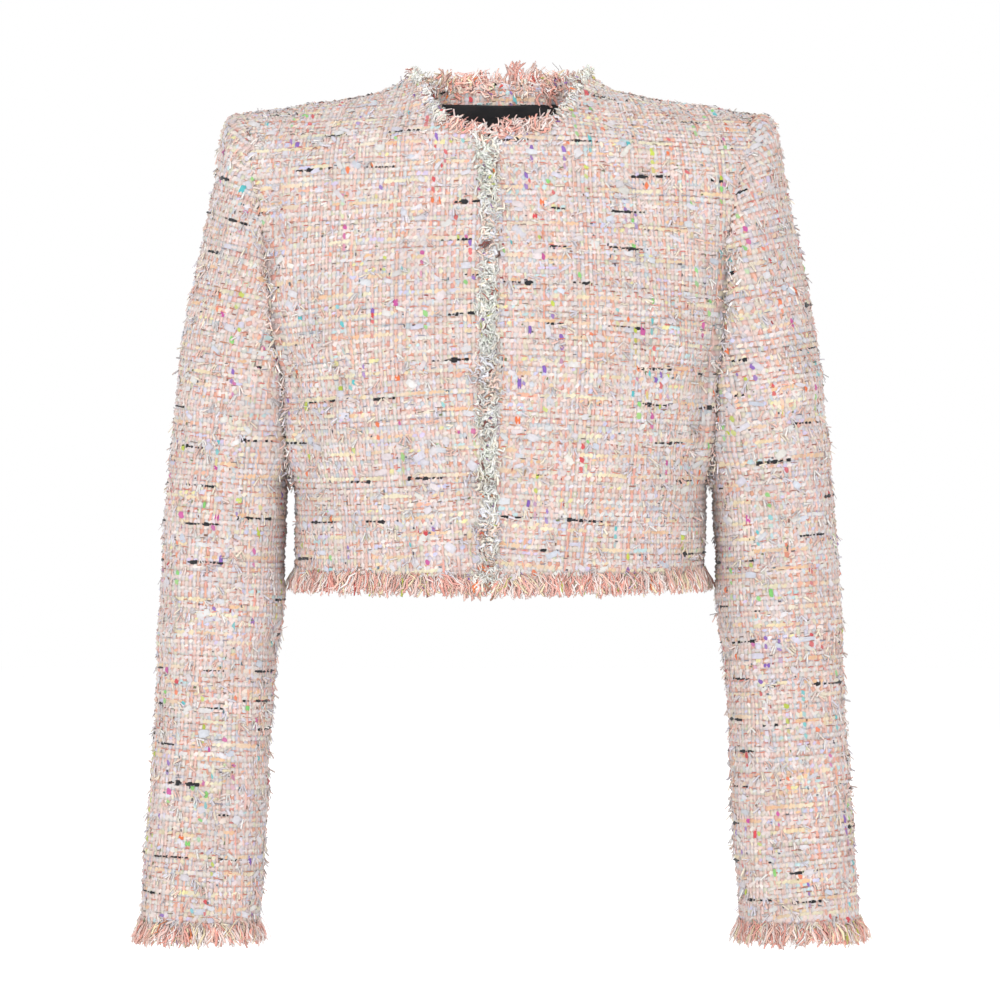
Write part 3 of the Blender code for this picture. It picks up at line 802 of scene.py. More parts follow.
class Floats:
    """A growing list of floats on one pattern."""

    def __init__(self):
        self.rows = []

    def put(self, yarn, u, v, turn, colours, draw, long=1.0, wide=1.0, wild=0.1):
        """Floats of one yarn, at places in millimetres, turned from across by an angle."""
        count = len(u)
        half_length, half_width, height, dip = YARNS[yarn]
        vary = draw.normal(1, wild, (3, count)).clip(0.55, 1.6)
        sizes = np.stack((
            half_length * long * vary[0], half_width * wide * vary[1], height * vary[2],
            np.full(count, dip),
        ), axis=1)
        turns = turn + draw.normal(0, WANDER, count)
        dyed = colours * WOVEN * draw.normal(1, 0.05, (count, 1))
        self.rows.append((np.stack((u, v), axis=1), turns, sizes, dyed))

    def laid(self, pattern, clear):
        """The floats that lie on the pattern, without those under the node to be kept clear."""
        flat, turn, sizes, dye = (np.concatenate(column) for column in zip(*self.rows))
        on, *frame = pattern.lay(flat * MM)
        columns = [*frame, turn[on, None], sizes[on], dye[on]]
        if clear:
            cover = vertex_array(nodes[clear].data)
            outside = (frame[0] < cover.min(axis=0)) | (frame[0] > cover.max(axis=0))
            free = outside[:, (0, 2)].any(axis=1)
            columns = [column[free] for column in columns]
        return columns

    def finish(self, name, pattern, material, side=1.0, sink=0.0, bright=1.0, clear=None):
        """Build the floats on the skin's outer side or, with side -1, on its inner one."""
        points, normals, across, up, turn, sizes, dye = self.laid(pattern, clear)
        lengthwise = across * np.cos(turn) + up * np.sin(turn)
        crosswise = up * np.cos(turn) - across * np.sin(turn)
        half_length, half_width, height, dip = (sizes[:, k, None, None] * MM for k in range(4))
        along, aside = ALONG[None, :, None], ACROSS[None, :, None]
        sides = np.minimum(np.minimum(height * 1.15, half_width * ROUND), MOST_ROUND * MM)
        lift = np.where(along == 0, height - np.abs(aside) * sides, -dip * SUNK)
        width = half_width * np.where(along == 0, 1.0, NARROW_END)
        corners = (
            points[:, None, :]
            + lengthwise[:, None, :] * along * half_length
            + crosswise[:, None, :] * aside * width
            + (normals[:, None, :] * (lift - sink * MM)) * side
        )
        corners += dice(name).normal(0, LUMPY * MM, corners.shape)
        count, per = len(points), len(ALONG)
        quads = (np.arange(count)[:, None, None] * per + FLOAT_QUADS).reshape(-1, 4)
        if side < 0:
            quads = quads[:, ::-1]
        # painted light and shade: each float's crown lighter and its sunken ends darker; bright
        # above 1 paints the neck lining lighter
        shade = np.where(ALONG == 0, np.where(ACROSS == 0, CROWN, FLANK), END) * bright
        dyed = (dye[:, None, :] * shade[None, :, None]).reshape(-1, 3)
        run_along = np.arange(count)[:, None] * APART * MM + ALONG * sizes[:, :1] * MM
        run = np.stack((run_along, ACROSS * sizes[:, 1:2] * MM), axis=2).reshape(-1, 2)
        print(name, count, "floats,", len(quads) * 2, "triangles")
        return mesh_of(name, corners.reshape(-1, 3), quads, dyed, run, material)


print(len(YARNS), "kinds of yarn can be floated")

# %% [markdown]
# The yarns wander a little as they run, so each end and pick has its own slow
# sideways drift. The dyes drift too: a space-dyed pick goes from cream through
# yellow to orange within a hand's width, and coloured slubs sit on an end for
# one to four floats, paler at each.

# %% Let the yarns drift
def drift(draw, count, size):
    """For each of some yarns: a function of the distance along it."""
    amounts = draw.uniform(0.4, 1, (count, 2)) * size
    lengths = draw.uniform((38, 90), (70, 220), (count, 2))
    starts = draw.uniform(0, math.tau, (count, 2))

    def shift(which, distance):
        waves = np.sin(distance[:, None] / lengths[which] * math.tau + starts[which])
        return (amounts[which] * waves).sum(axis=1)

    return shift


def blended(colours, where):
    """A palette read at fractional places, going round it."""
    low = np.floor(where).astype(int)
    share = (where - low)[:, None]
    return colours[low % len(colours)] * (1 - share) + colours[(low + 1) % len(colours)] * share


def picked(colours, draw, count):
    """Colours drawn from a palette, each as it is."""
    return colours[draw.integers(0, len(colours), count)]


def spaced(draw, count, pitch, least, most):
    """Where each yarn lies when their spacing is uneven, with no drift over the panel."""
    steps = draw.uniform(least, most, count)
    places = np.cumsum(steps) - steps[0]
    return places * (count - 1) / max(places[-1], 1e-9) * pitch


print("yarns can drift and change colour")

# %% [markdown]
# ## The crossings
#
# A panel is a grid of crossings, one for each end and pick that meet. Each
# knows where it lies, how thick and how dyed its two yarns are, and which of
# them is on top. It is a plain weave with faults: some crossings are the wrong
# way up, yellow picks float over more ends than they should, and some bold
# ends float over more picks, which gives the cloth its long upright runs.

# %% Set out the crossings of a panel
SELVEDGE = 4  # how far the grid goes beyond the pattern
FAULTY = 0.06  # share of crossings that are the wrong way up
BOLD_ENDS = 0.3
YELLOW_AT = (0, 4)  # which picks of a repeat are yellow


class Crossings:
    """Every crossing of a panel, or of the part above a height."""

    def __init__(self, pattern, low=None):
        draw = self.draw = dice(pattern.node + " weave")
        least, most = (
            reduce(pattern.flat, axis=0) / MM + beyond
            for reduce, beyond in ((np.min, -SELVEDGE), (np.max, SELVEDGE))
        )
        if low is not None:
            least[1] = low
        self.ends, self.picks = (
            math.ceil(reach / pitch) for reach, pitch in zip(most - least, (END_PITCH, PICK_PITCH))
        )
        grids = np.meshgrid(np.arange(self.ends), np.arange(self.picks), indexing="ij")
        end, pick = self.end, self.pick = [grid.ravel() for grid in grids]
        self.count = len(end)
        self.end_at = least[0] + spaced(draw, self.ends, END_PITCH, 0.8, 1.2)[end]
        self.pick_at = least[1] + spaced(draw, self.picks, PICK_PITCH, 0.62, 1.38)[pick]
        self.end_thick = draw.uniform(0.75, 1.25, self.ends)[end]
        self.pick_thick = draw.uniform(0.7, 1.3, self.picks)[pick]
        self.u = self.end_at + drift(draw, self.ends, 0.4)(end, self.pick_at)
        self.v = self.pick_at + drift(draw, self.picks, 0.5)(pick, self.end_at)
        self.end_dye = draw.uniform(0, 60, self.ends)[end]
        self.pick_dye = draw.uniform(0, 60, self.picks)[pick]
        self.coral = end % 2 == 0
        self.cross()

    def chance(self, share, count=None):
        """A yes or no for each crossing, or for each of some yarns."""
        return self.draw.random(self.count if count is None else count) < share

    def cross(self):
        """Which yarn is on top, and where the picks are yellow."""
        over = (self.end + self.pick) % 2 == 0
        over ^= self.chance(FAULTY)
        bold = self.chance(BOLD_ENDS, self.ends)[self.end]
        in_run = np.sin(self.pick_at / 11 + self.end_dye * 3) > 0
        over |= bold & in_run & self.chance(0.7)
        yellow = np.isin(self.pick % REPEAT, YELLOW_AT) & self.chance(0.75, self.picks)[self.pick]
        waves = np.sin(self.end_at / 14 + self.pick_dye)
        waves = waves + np.sin(self.end_at / 6 + self.pick_dye) * 0.6
        patchy = waves + self.draw.normal(0, 0.3, self.count) > -0.1
        over &= ~(yellow & patchy & self.chance(0.7))
        self.over, self.yellow, self.in_colour = over, yellow, yellow & patchy

    def put(self, floats, yarn, here, turn, dye, long=1.0, wide=1.0, wild=0.1, aside=0, above=0):
        """Floats of one yarn at some of the crossings, or a little beside them."""
        u, v = self.u[here] + aside, self.v[here] + above
        floats.put(yarn, u, v, turn, dye, self.draw, long, wide, wild)


print("a pick is yellow", len(YELLOW_AT), "times in", REPEAT)

# %% [markdown]
# ## Ends
#
# The ends that come to the top are thin coral ones and thick pale ones, in
# turn, and half of the coral ones are nearly as pale. Here and there an end
# carries a coloured slub: it starts at full strength at one crossing, and is
# fainter at each of the next ones that the end comes up at.

# %% Put the ends on top
SLUBBED = 0.02  # share of crossings where a coloured slub starts
FADING = (0.95, 0.8, 0.5, 0.3)  # its strength from one float to the next


def weave_ends(panel, floats):
    draw, over, end_thick = panel.draw, panel.over, panel.end_thick
    speck = np.zeros(panel.count)
    starts = panel.chance(SLUBBED)
    for step, strength in enumerate(FADING):
        reached = np.roll(starts & panel.chance(1 - step * 0.22), -step * 2)
        speck = np.maximum(speck, reached * strength)
    hue = blended(SPECKS, np.floor(panel.end_dye + panel.pick_at // 45))

    here = over & panel.coral
    count = here.sum()
    pale = panel.chance(0.5, panel.ends)[panel.end]
    where = panel.end_dye[here] + panel.pick_at[here] / 60
    dye = blended(CORALS, where + draw.normal(0, 0.5, count))
    dye = np.where(pale[here, None], dye * 0.35 + PALES[1] * 0.65, dye)
    dye += (hue[here] - dye) * speck[here, None]
    long = draw.uniform(0.75, 1.15, count) * np.where(pale, 0.9, 1.15)[here]
    wide = end_thick[here] * (1 + speck[here] * 1.1)
    panel.put(floats, "coral end", here, UPRIGHT, dye, long, wide, 0.16)

    here = over & ~panel.coral
    where = panel.end_dye[here] + panel.pick_at[here] / 28
    dye = blended(PALES, where + draw.normal(0, 1.0, here.sum()))
    dye += (hue[here] - dye) * (speck[here, None] * 0.9)
    wide = end_thick[here] * (1 + speck[here] * 0.5)
    panel.put(floats, "pale end", here, UPRIGHT, dye, 1, wide, 0.18)


print("a slub fades over", len(FADING), "floats")

# %% [markdown]
# ## Picks
#
# The thick picks are cream and white, space-dyed in slow runs of yellow and of
# pastels. Finer ones in salmon and grey lie between them and come up over two
# ends. Under each first yellow pick runs a thin black one with beads, in short
# stretches, some of them swollen.

# %% Put the picks on top
FINE_PICKS, FINE_SHOWN = 0.6, 0.65  # share of rows with a fine pick, and of it that shows
BEAD_SIZES = ((0.6, 0.25), (0.9, 0.35), (1.3, 0.28), (1.9, 0.12))  # and how often each comes


def weave_picks(panel, floats):
    draw, end_at, pick_dye = panel.draw, panel.end_at, panel.pick_dye
    here = ~panel.over
    count = here.sum()
    dye = blended(PICKS, (pick_dye + end_at / 12)[here] + draw.normal(0, 1.2, count))
    crossed = blended(PALES, (panel.end_dye * 2 + panel.pick_at / 50)[here])
    dye = dye * 0.68 + crossed * 0.32
    bright = blended(YELLOWS, pick_dye + end_at / 24)
    dye = np.where(panel.in_colour[here, None], bright[here] * MUTED, dye)
    pastel = np.sin(end_at / 7 + pick_dye * 3) + np.sin(end_at / 19 + pick_dye * 5) > 1.4
    soft = blended(PASTELS, np.floor(pick_dye * 3 + end_at // 40)[here])
    dye = np.where(pastel[here, None], soft * MUTED, dye)
    wide = np.where(panel.yellow, 1.2, panel.pick_thick)[here]
    panel.put(floats, "pick", here, 0, dye, draw.uniform(0.8, 1.2, count), wide, 0.16)


def weave_fine_picks(panel, floats):
    draw, end_at, pick_dye = panel.draw, panel.end_at, panel.pick_dye
    fine = panel.chance(FINE_PICKS, panel.picks)[panel.pick]
    here = fine & ((panel.end + panel.pick) % 3 == 0) & panel.chance(FINE_SHOWN)
    shades = pick_dye[here].astype(int) * 3 + draw.integers(0, 3, here.sum())
    dye = FINES[shades % len(FINES)]
    panel.put(floats, "fine pick", here, 0, dye, wild=0.25, above=PICK_PITCH / 2)

    dark = np.sin(end_at / 9 + pick_dye * 2) + np.sin(end_at / 31 + pick_dye) > 0.8
    dark &= panel.pick % REPEAT == 0
    dark &= panel.chance(0.85)
    sizes, shares = zip(*BEAD_SIZES)
    size = draw.choice(sizes, dark.sum(), p=shares)
    dye = np.tile(BLACK, (dark.sum(), 1))
    panel.put(floats, "black bead", dark, 0, dye, size, size, 0.2, above=-PICK_PITCH / 2)


print("beads come in", len(BEAD_SIZES), "sizes")

# %% [markdown]
# ## Odds and ends of yarn
#
# Loose on the cloth lie what makes it a fancy tweed: small dark flecks of
# fibre, coloured slubs as thick as two yarns, and short pale ribbons, a little
# askew. Then everything is in place to weave each panel.

# %% Scatter the odd yarns and weave the panels
FLECKED, KNOTTED, RIBBONED = 0.045, 0.007, 0.02  # share of crossings that have each
STRAY = 1.5


def scatter_odd_yarns(panel, floats):
    draw = panel.draw
    here = panel.chance(FLECKED)
    count = here.sum()
    dye = picked(FLECKS, draw, count)
    aside, above = draw.uniform(-STRAY, STRAY, (2, count))
    turn = draw.choice((0, UPRIGHT), count)
    panel.put(floats, "fleck", here, turn, dye, wild=0.4, aside=aside, above=above)

    here = panel.chance(KNOTTED) & panel.coral
    dye = picked(SPECKS, draw, here.sum())
    panel.put(floats, "slub", here, UPRIGHT, dye, wild=0.25)

    here = panel.chance(RIBBONED)
    askew = draw.normal(-0.1, 0.5, here.sum())
    dye = blended(RIBBONS, draw.uniform(0, 20, here.sum())) * MUTED
    panel.put(floats, "ribbon", here, askew, dye, wild=0.25)


def weave(pattern, low=None):
    """All the floats of a pattern, or of the part above a height."""
    panel, floats = Crossings(pattern, low), Floats()
    for lay_yarns in (weave_ends, weave_picks, weave_fine_picks, scatter_odd_yarns):
        lay_yarns(panel, floats)
    return floats


def declare(piece, slot, *replaced):
    """What every piece needs: its body, and the nodes that it stands for, hidden. The slot is not
    used.
    """
    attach(piece, "root")
    if replaced:
        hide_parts(*replaced)
    return piece


for node, pattern in patterns.items():
    woven = weave(pattern).finish("yarns_" + node, pattern, tweed_yarn)
    declare(woven, "tweed")

# %% [markdown]
# ## The cloth under the yarns
#
# Between the floats and on the inside, the ground of the cloth shows: the wrong
# side of the tweed. It is the skin itself. Its finish draws the same plain weave
# on the flat pattern's map, with the same sizes, as colour and bump, with painted
# shade darkening the grooves between its yarns. It is made twice: full for the
# inside, and darker for the outside, as painted shade of the raised yarns over it.

# %% Finish the shells
FUZZ = 1800.0  # how often in a metre the ground's lightness flickers


def ramp(graph, factor, colours):
    """A palette that is read by a number from 0 to 1."""
    stops = [(k / len(colours), tuple(colour)) for k, colour in enumerate(colours)]
    return graph.add("ShaderNodeValToRGB", {"stops": stops}, {0: factor})


def mixed(graph, factor, one, other):
    node = graph.add("ShaderNodeMix", {"data_type": "RGBA"}, {0: factor}, output=2)
    graph.fill(node.socket.node.inputs[6], one)
    graph.fill(node.socket.node.inputs[7], other)
    return node


def lots(graph, number):
    """A lot from 0 to 1 for each yarn, by its number."""
    return graph.add("ShaderNodeTexWhiteNoise", {"noise_dimensions": "1D"}, {"W": number})


def ground_finish(name, light):
    """The ground of the cloth, a plain weave of flat yarns."""
    graph = Graph(name)
    u, v = graph.own_map("flat")
    end, pick = u / (END_PITCH * MM), v / (PICK_PITCH * MM)
    end_number, pick_number = end.maths("ROUND"), pick.maths("ROUND")
    over = (end_number + pick_number).maths("PINGPONG", 1.0)
    coral = end_number.maths("PINGPONG", 1.0)
    pair = graph.add("ShaderNodeCombineXYZ", None, {0: end_number, 1: pick_number})
    lottery = graph.add("ShaderNodeTexWhiteNoise", {"noise_dimensions": "2D"}, {"Vector": pair})
    end_lot, pick_lot = lots(graph, end_number), lots(graph, pick_number + 0.5)
    coral_yarn = ramp(graph, (end_lot + lottery * 0.4) * 0.7, CORALS)
    pale_yarn = ramp(graph, (end_lot + lottery * 0.5) * 0.66, PALES)
    pick_yarn = ramp(graph, (pick_lot + lottery * 0.5) * 0.66, PICKS)
    dyed = mixed(graph, over, mixed(graph, coral, coral_yarn, pale_yarn), pick_yarn)
    aside, above = (end - end_number).maths("ABSOLUTE"), (pick - pick_number).maths("ABSOLUTE")
    rise = 1 - aside * aside * 3 - above * above * 3
    fuzz = graph.noise(graph.place(), FUZZ, 3.0)
    graph.set(
        # painted shade: each yarn lighter in its middle and darker towards the grooves between
        # yarns; light darkens the outside as painted shade of the raised yarns
        Base_Color=graph.tinted(dyed, (0.62 + rise * 0.28 + fuzz * 0.22) * light),
        Roughness=0.95,
        Normal=graph.bumped(rise + fuzz * 0.5, 0.8 * MM, 0.8),
        Sheen_Weight=0.2,
    )
    return graph.material


wrong_side = ground_finish("wrong side of the tweed", 0.95)
between = ground_finish("ground between the yarns", 0.65)  # it lies in their shade
print("ground finishes made")

# %% [markdown]
# Solidify turns a skin into a wall. Its material offset counts on from the
# finish of the outer side, so the wrong side shows wherever one looks inside.

# %% Thicken the shells
CLOTH = 2.2


def thicken(node, skin, materials, thickness, slot):
    """Give a skin its finishes and its thickness inwards; it then stands for its CAD wall."""
    for material in materials:
        skin.data.materials.append(material)
    skin.data.shade_smooth()
    wall = skin.modifiers.new("thickness", "SOLIDIFY")
    wall.thickness, wall.offset, wall.use_even_offset = thickness * MM, -1, False
    wall.material_offset = len(materials) - 1
    choose(skin)
    bpy.ops.object.modifier_apply(modifier=wall.name)
    print(skin.name, len(skin.data.polygons) * 2, "triangles")
    return declare(skin, slot, node)


for node, skin in skins.items():
    thicken(node, skin, (between, wrong_side), CLOTH, "tweed")

# %% [markdown]
# The inside of the back shows in the neck opening, above the label, so it gets
# raised yarns of its own there: the same weave, laid on the other side of the
# shell. Its yarns are painted lighter than the outside's, as painted light against
# the shade inside the neck.

# %% Line the back of the neck
LINED_FROM = -75  # the lowest height that shows through the neck opening
lining = weave(patterns["back"], low=LINED_FROM).finish(
    "yarns_back_inside", patterns["back"], tweed_yarn,
    # bright=1.32 is painted light: the lining's yarns are lighter than the outside's, against the
    # shade inside the neck
    side=-1, sink=-CLOTH, bright=1.32, clear="neck_label",
)
neck_lining = declare(lining, "tweed")

# %% [markdown]
# ## Fringe
#
# The raw edges are frayed: the yarns that ran along the edge are pulled out for
# a finger's width, and the ones that ran across it hang free. Each edge is
# found again as the part of a skin's rim that lies next to a strip of CAD
# fringe, and is read as a smooth line that can be asked for any place along it.

# %% Find an edge by the fringe that lies along it
NEXT_TO = 4.5  # how near a rim lies to its fringe


def rim_chains(triangles, near):
    """The rim of a mesh as lines of points, where both ends of a rim edge are near."""
    sides = np.concatenate([triangles[:, pair] for pair in ((0, 1), (1, 2), (2, 0))])
    edges, counts = np.unique(np.sort(sides, axis=1), axis=0, return_counts=True)
    links = {}
    for a, b in edges[(counts == 1) & near[edges].all(axis=1)].tolist():
        links.setdefault(a, []).append(b)
        links.setdefault(b, []).append(a)
    chains, used = [], set()
    for start in [k for k, others in links.items() if len(others) == 1]:
        if start in used:
            continue
        line = [start]
        while line:
            used.add(line[-1])
            onward = [k for k in links[line[-1]] if k not in used]
            if not onward:
                break
            line.append(onward[0])
        chains.append(line)
    return chains


class Edge:
    """The rim of a skin along a fringe, read by the distance along it in millimetres."""

    def __init__(self, node, fringe_node):
        pattern = patterns[node]
        fringe = nodes[fringe_node].data
        fringe.calc_loop_triangles()
        faces = [triangle.vertices[:] for triangle in fringe.loop_triangles]
        tree = BVHTree.FromPolygons([vertex.co for vertex in fringe.vertices], faces)
        found = [tree.find_nearest(Vector(point), NEXT_TO * MM)[0] for point in pattern.points]
        near = np.array([place is not None for place in found])
        line = max(rim_chains(pattern.triangles, near), key=len)
        points, normals = pattern.points[line], pattern.normals[line]
        steps = np.linalg.norm(np.diff(points, axis=0), axis=1)
        self.at = np.concatenate(((0,), steps.cumsum())) / MM
        self.length = self.at[-1]
        along = unit(np.gradient(points, axis=0))
        out = self.outwards(pattern, points, unit(np.cross(along, normals)))
        grain = unit(np.cross(normals, pattern.across[line]))
        self.table = np.concatenate((points, normals, along, out, grain), axis=1)

    def outwards(self, pattern, points, out):
        """The way out of the cloth is the way that the rest of the pattern isn't."""
        skin = BVHTree.FromPolygons(pattern.points.tolist(), pattern.triangles.tolist())
        away = [
            sum(skin.find_nearest(Vector(p + o * way * MM))[3] for p, o in zip(points, out))
            for way in (3, -3)
        ]
        return -out if away[0] < away[1] else out

    def read(self, at):
        """Points, normals, directions along and out, and the grain, at distances along."""
        columns = np.stack([np.interp(at, self.at, column) for column in self.table.T], axis=1)
        points, *directions = (columns[:, k : k + 3] for k in range(0, 15, 3))
        return (points, *(unit(direction) for direction in directions))


print("edges are found within", NEXT_TO, "mm of their fringe")

# %% [markdown]
# A frayed end is a tapering strand with a three-sided section: at first it goes
# straight out, then it bends down under its own weight, and it waves as much as
# its yarn is curly. Its points come in rings of three, from the root to the tip.

# %% Build strands from their roots
FRAYED = 0.76  # how much of a swatch's lightness is left in a loose end
BLUNT = 0.95  # where a strand stops being round and comes to its tip
SECTION = ((-0.5, 0.0), (0.5, 0.0), (0.0, 1.0))  # in widths across and thicknesses up


def strand_faces(count, rings):
    """The faces of some strands whose points come ring by ring, each with its tip last."""
    per = (rings - 1) * 3 + 1
    starts = np.arange(count)[:, None] * per
    quads = []
    for ring in range(rings - 2):
        for k in range(3):
            a, b = ring * 3 + k, ring * 3 + (k + 1) % 3
            quads.append(starts + (a, b, b + 3, a + 3))
    last = (rings - 2) * 3
    tips = [starts + (last + k, last + (k + 1) % 3, per - 1) for k in range(3)]
    return np.concatenate(quads).tolist() + np.concatenate(tips).tolist()


class Strands:
    """A growing list of strands, which becomes one joined mesh."""

    def __init__(self, rings):
        self.rings, self.rows = rings, []

    def put(
        self, roots, ways, flats, lengths, widths, dye, draw,
        droop, curl, thick, tips=None, bright=1.0,
    ):
        """Strands from roots: the way each starts, the way its flat side looks, its size."""
        count, light = len(roots), bright * FRAYED
        dark = dye * 0.9 if tips is None else tips
        shape = np.stack((
            lengths, widths, widths * thick,
            droop * draw.uniform(0.5, 1.5, count),
            curl * draw.uniform(0.3, 1.6, count),
            draw.uniform(0, math.tau, count),
        ), axis=1)
        dyed = light * dye * draw.normal(1, 0.08, (count, 1))
        self.rows.append((roots, unit(ways), flats, shape, dyed, light * dark))

    def finish(self, name, material):
        columns = (np.concatenate(column) for column in zip(*self.rows))
        roots, ways, flats, shape, dye, dark = columns
        count, rings = len(roots), self.rings
        length, width, thick, droop, curl, phase = (shape[:, k, None] for k in range(6))
        length, width, thick = length * MM, width * MM, thick * MM
        sides = unit(np.cross(ways, flats))
        flats = np.cross(sides, ways)

        def middle(t):
            """Where the strands are at a share of their length."""
            wave = np.sin(phase + t * 7.5) - np.sin(phase)
            lift = np.cos(phase * 1.7 + t * 6) - np.cos(phase * 1.7)
            straight = roots + ways * length * t * (1 - 0.12 * droop * t)
            curly = straight + (sides * wave + flats * lift * 0.6) * length * curl * t**0.7
            return curly - UP * length * droop * t * t

        points = []
        for t in (ring / (rings - 2) * BLUNT for ring in range(rings - 1)):
            swell = 0.85 + 0.3 * math.sin(math.pi * t)
            points.append(np.stack([
                middle(t) + sides * width * swell * x + flats * thick * y for x, y in SECTION
            ], axis=1))
        points.append(middle(1)[:, None, :])
        points = np.concatenate(points, axis=1)
        along = np.concatenate((np.repeat(np.arange(rings - 1), 3), (rings - 1,))) / (rings - 1)
        # painted shade: each strand darker at its root, where it leaves the cloth, and its own
        # colour further out
        shade = np.clip(0.82 + along * 0.6, 0, 1)[None, :, None]
        toward = (np.clip(along - 0.72, 0, 1) * 2.4)[None, :, None]
        colour = dye[:, None, :] * shade * (1 - toward) + dark[:, None, :] * toward
        run = np.stack((length * along, np.zeros((count, len(along)))), axis=2)
        print(name, count, "strands,", count * (rings * 6 - 9), "triangles")
        return mesh_of(
            name, points.reshape(-1, 3), strand_faces(count, rings),
            colour.reshape(-1, 3), run.reshape(-1, 2), material,
        )


print("a strand of 5 rings has", 5 * 6 - 9, "triangles")

# %% [markdown]
# Strands that start near each other cling together. So the edge is shared out
# in clumps: each clump has one lean, and its strands draw towards its middle.

# %% Gather strands in clumps
def clumped(draw, edge, count, clump, lean, lift):
    """Places along an edge for strands, how each leans and lifts, and its clump's number."""
    at = draw.uniform(0, edge.length, count)
    number = max(1, round(edge.length / clump))
    middles = (np.arange(number) + draw.uniform(0.1, 0.9, number)) * edge.length / number
    nearest = np.abs(at[:, None] - middles[None, :]).argmin(axis=1)
    leans = draw.normal(0, lean, number)[nearest] - (at - middles[nearest]) / clump * 0.5
    lifts = np.abs(draw.normal(0, lift, number))[nearest]
    leans = leans + draw.normal(0, lean * 0.5, count)
    lifts = lifts + np.abs(draw.normal(0, lift * 0.6, count))
    return at, leans, lifts, nearest


print("strands can be clumped")

# %% [markdown]
# Loose ends have the dyes of the yarns that they were pulled from: warm ones for
# the warp and pale ones for the weft. Now and then there is an odd one in a
# strong colour.

# %% Dye the loose ends
ENDS = palette(
    (248, 190, 176), (250, 214, 204), (246, 178, 164), (252, 236, 230), (248, 204, 186),
    (252, 224, 218), (244, 168, 152), (254, 246, 242), (248, 208, 194), (248, 230, 192),
)
WEFTS = palette(
    (240, 240, 234), (250, 248, 244), (230, 232, 226), (246, 238, 222), (236, 242, 230),
    (252, 250, 246), (224, 224, 220), (242, 234, 218), (236, 236, 244), (248, 218, 204),
)
ODD_ENDS = palette(
    (196, 70, 62), (120, 52, 44), (116, 74, 66), (226, 120, 60),
    (196, 206, 84), (150, 100, 180), (170, 120, 90),
)


def dyes(draw, base, odd, shades):
    """The colours of some strands: shades of a palette, with an odd end here and there."""
    colours = base[shades % len(base)]
    swap = draw.random(len(shades)) < odd
    colours[swap] = picked(ODD_ENDS, draw, swap.sum())
    return colours


print(len(ENDS), "warp dyes,", len(WEFTS), "weft dyes and", len(ODD_ENDS), "odd ones")

# %% [markdown]
# The hem and the cuffs have broad, flat warp ends that hang straight, coral for
# the most part, and darker at their tips. They hang in three layers, and each
# layer starts a little higher on the cloth than the one under it.

# %% Fray the hem and the cuffs
HEM_LAYERS = (
    # strands in a millimetre, width, how deep they start, rise over the cloth, length
    (1.0, 1.9, 2.5, -0.6, 1.0),
    (1.0, 1.7, 4.5, 0.8, 0.94),
    (0.9, 0.9, 6, 1.2, 0.88),
)
RED_TIP, PALE_TIP = np.array((0.45, 0.2, 0.18)), np.array((0.85, 0.74, 0.7))
RED_TIPS = 0.15  # share of the ends that have a red tip


def fray_hem(strands, edge, draw, length, slant):
    """Flat warp ends: the top layers start on the cloth and hide where the picks end."""
    for per_mm, width, inset, rise, share in HEM_LAYERS:
        count = round(edge.length * per_mm)
        at, leans, lifts, clump = clumped(draw, edge, count, 6.5, 0.42, 0.2)
        points, normals, along, out, _ = edge.read(at)
        ways = out + along * (leans + slant)[:, None] + normals * (lifts - 0.04)[:, None]
        start = draw.uniform(0.2, 1, count) * inset
        above = rise + draw.normal(0, 0.3, (count, 1))
        roots = points - out * start[:, None] * MM + normals * above * MM
        dye = dyes(draw, ENDS, 0.025, clump * 3 + draw.integers(0, 7, count))
        tips = dye * np.where(draw.random((count, 1)) < RED_TIPS, RED_TIP, PALE_TIP)
        lengths = length * share * draw.normal(0.9, 0.11, count).clip(0.5, 1.1) + start
        widths = width * draw.uniform(0.5, 1.3, count)
        strands.put(
            roots, ways, normals, lengths, widths, dye, draw,
            droop=0.06, curl=0.13, thick=0.5, tips=tips, bright=0.98,
        )


print("hems are frayed in", len(HEM_LAYERS), "layers")

# %% [markdown]
# The front opening has a fluffy band of curly weft ends that lies on the cloth.
# It is wider in some places than in others.

# %% Fray the front edges
FRONT_LAYERS = (
    # strands in a millimetre, width, length, how far in from the edge they start
    (1.0, 1.7, 8.0, 4.5),
    (1.0, 1.1, 7.5, 7.0),
    (0.6, 0.45, 10.0, 8.5),
)


def fray_front(strands, edge, draw, wide):
    """A fluffy band of curly weft ends, which starts on the cloth and covers the edge."""
    for per_mm, width, length, far in FRONT_LAYERS:
        count = round(edge.length * per_mm)
        at, leans, lifts, clump = clumped(draw, edge, count, 11, 0.8, 0.2)
        points, normals, along, out, _ = edge.read(at)
        spread = wide * (0.8 + 0.4 * np.sin(at / 9) * np.sin(at / 23 + 1))
        inset = draw.uniform(-0.5, far, count) * spread * draw.uniform(0.5, 1, count)
        ways = out * draw.normal(0.6, 0.6, (count, 1))
        ways = ways + along * leans[:, None] + normals * (0.1 + lifts)[:, None]
        above = draw.uniform(0.2, 1.6, (count, 1))
        roots = points - out * inset[:, None] * MM + normals * above * MM
        dye = dyes(draw, WEFTS, 0.05, clump + draw.integers(0, 4, count))
        lengths = length * draw.uniform(0.5, 1.2, count)
        widths = width * draw.uniform(0.6, 1.4, count)
        strands.put(
            roots, ways, normals, lengths, widths, dye, draw,
            droop=0.12, curl=0.2, thick=0.6, bright=1.06,
        )


print("front edges are frayed in", len(FRONT_LAYERS), "layers")

# %% [markdown]
# Round the neck both kinds fray, because the edge turns from along the weft to
# along the warp: how steep it runs against the grain decides which it is.
# Behind the neck the inner side shows too, so it gets more ends there. The ends behind the neck are
# painted lighter than the others, as painted light against the shade inside the neck.

# %% Fray the neck
NECK_LAYERS = (
    # strands in a millimetre, width
    (1.4, 1.9),
    (1.2, 1.3),
    (0.7, 0.5),
)
NECK_SIDE = 50  # beyond this the ends are short and pale


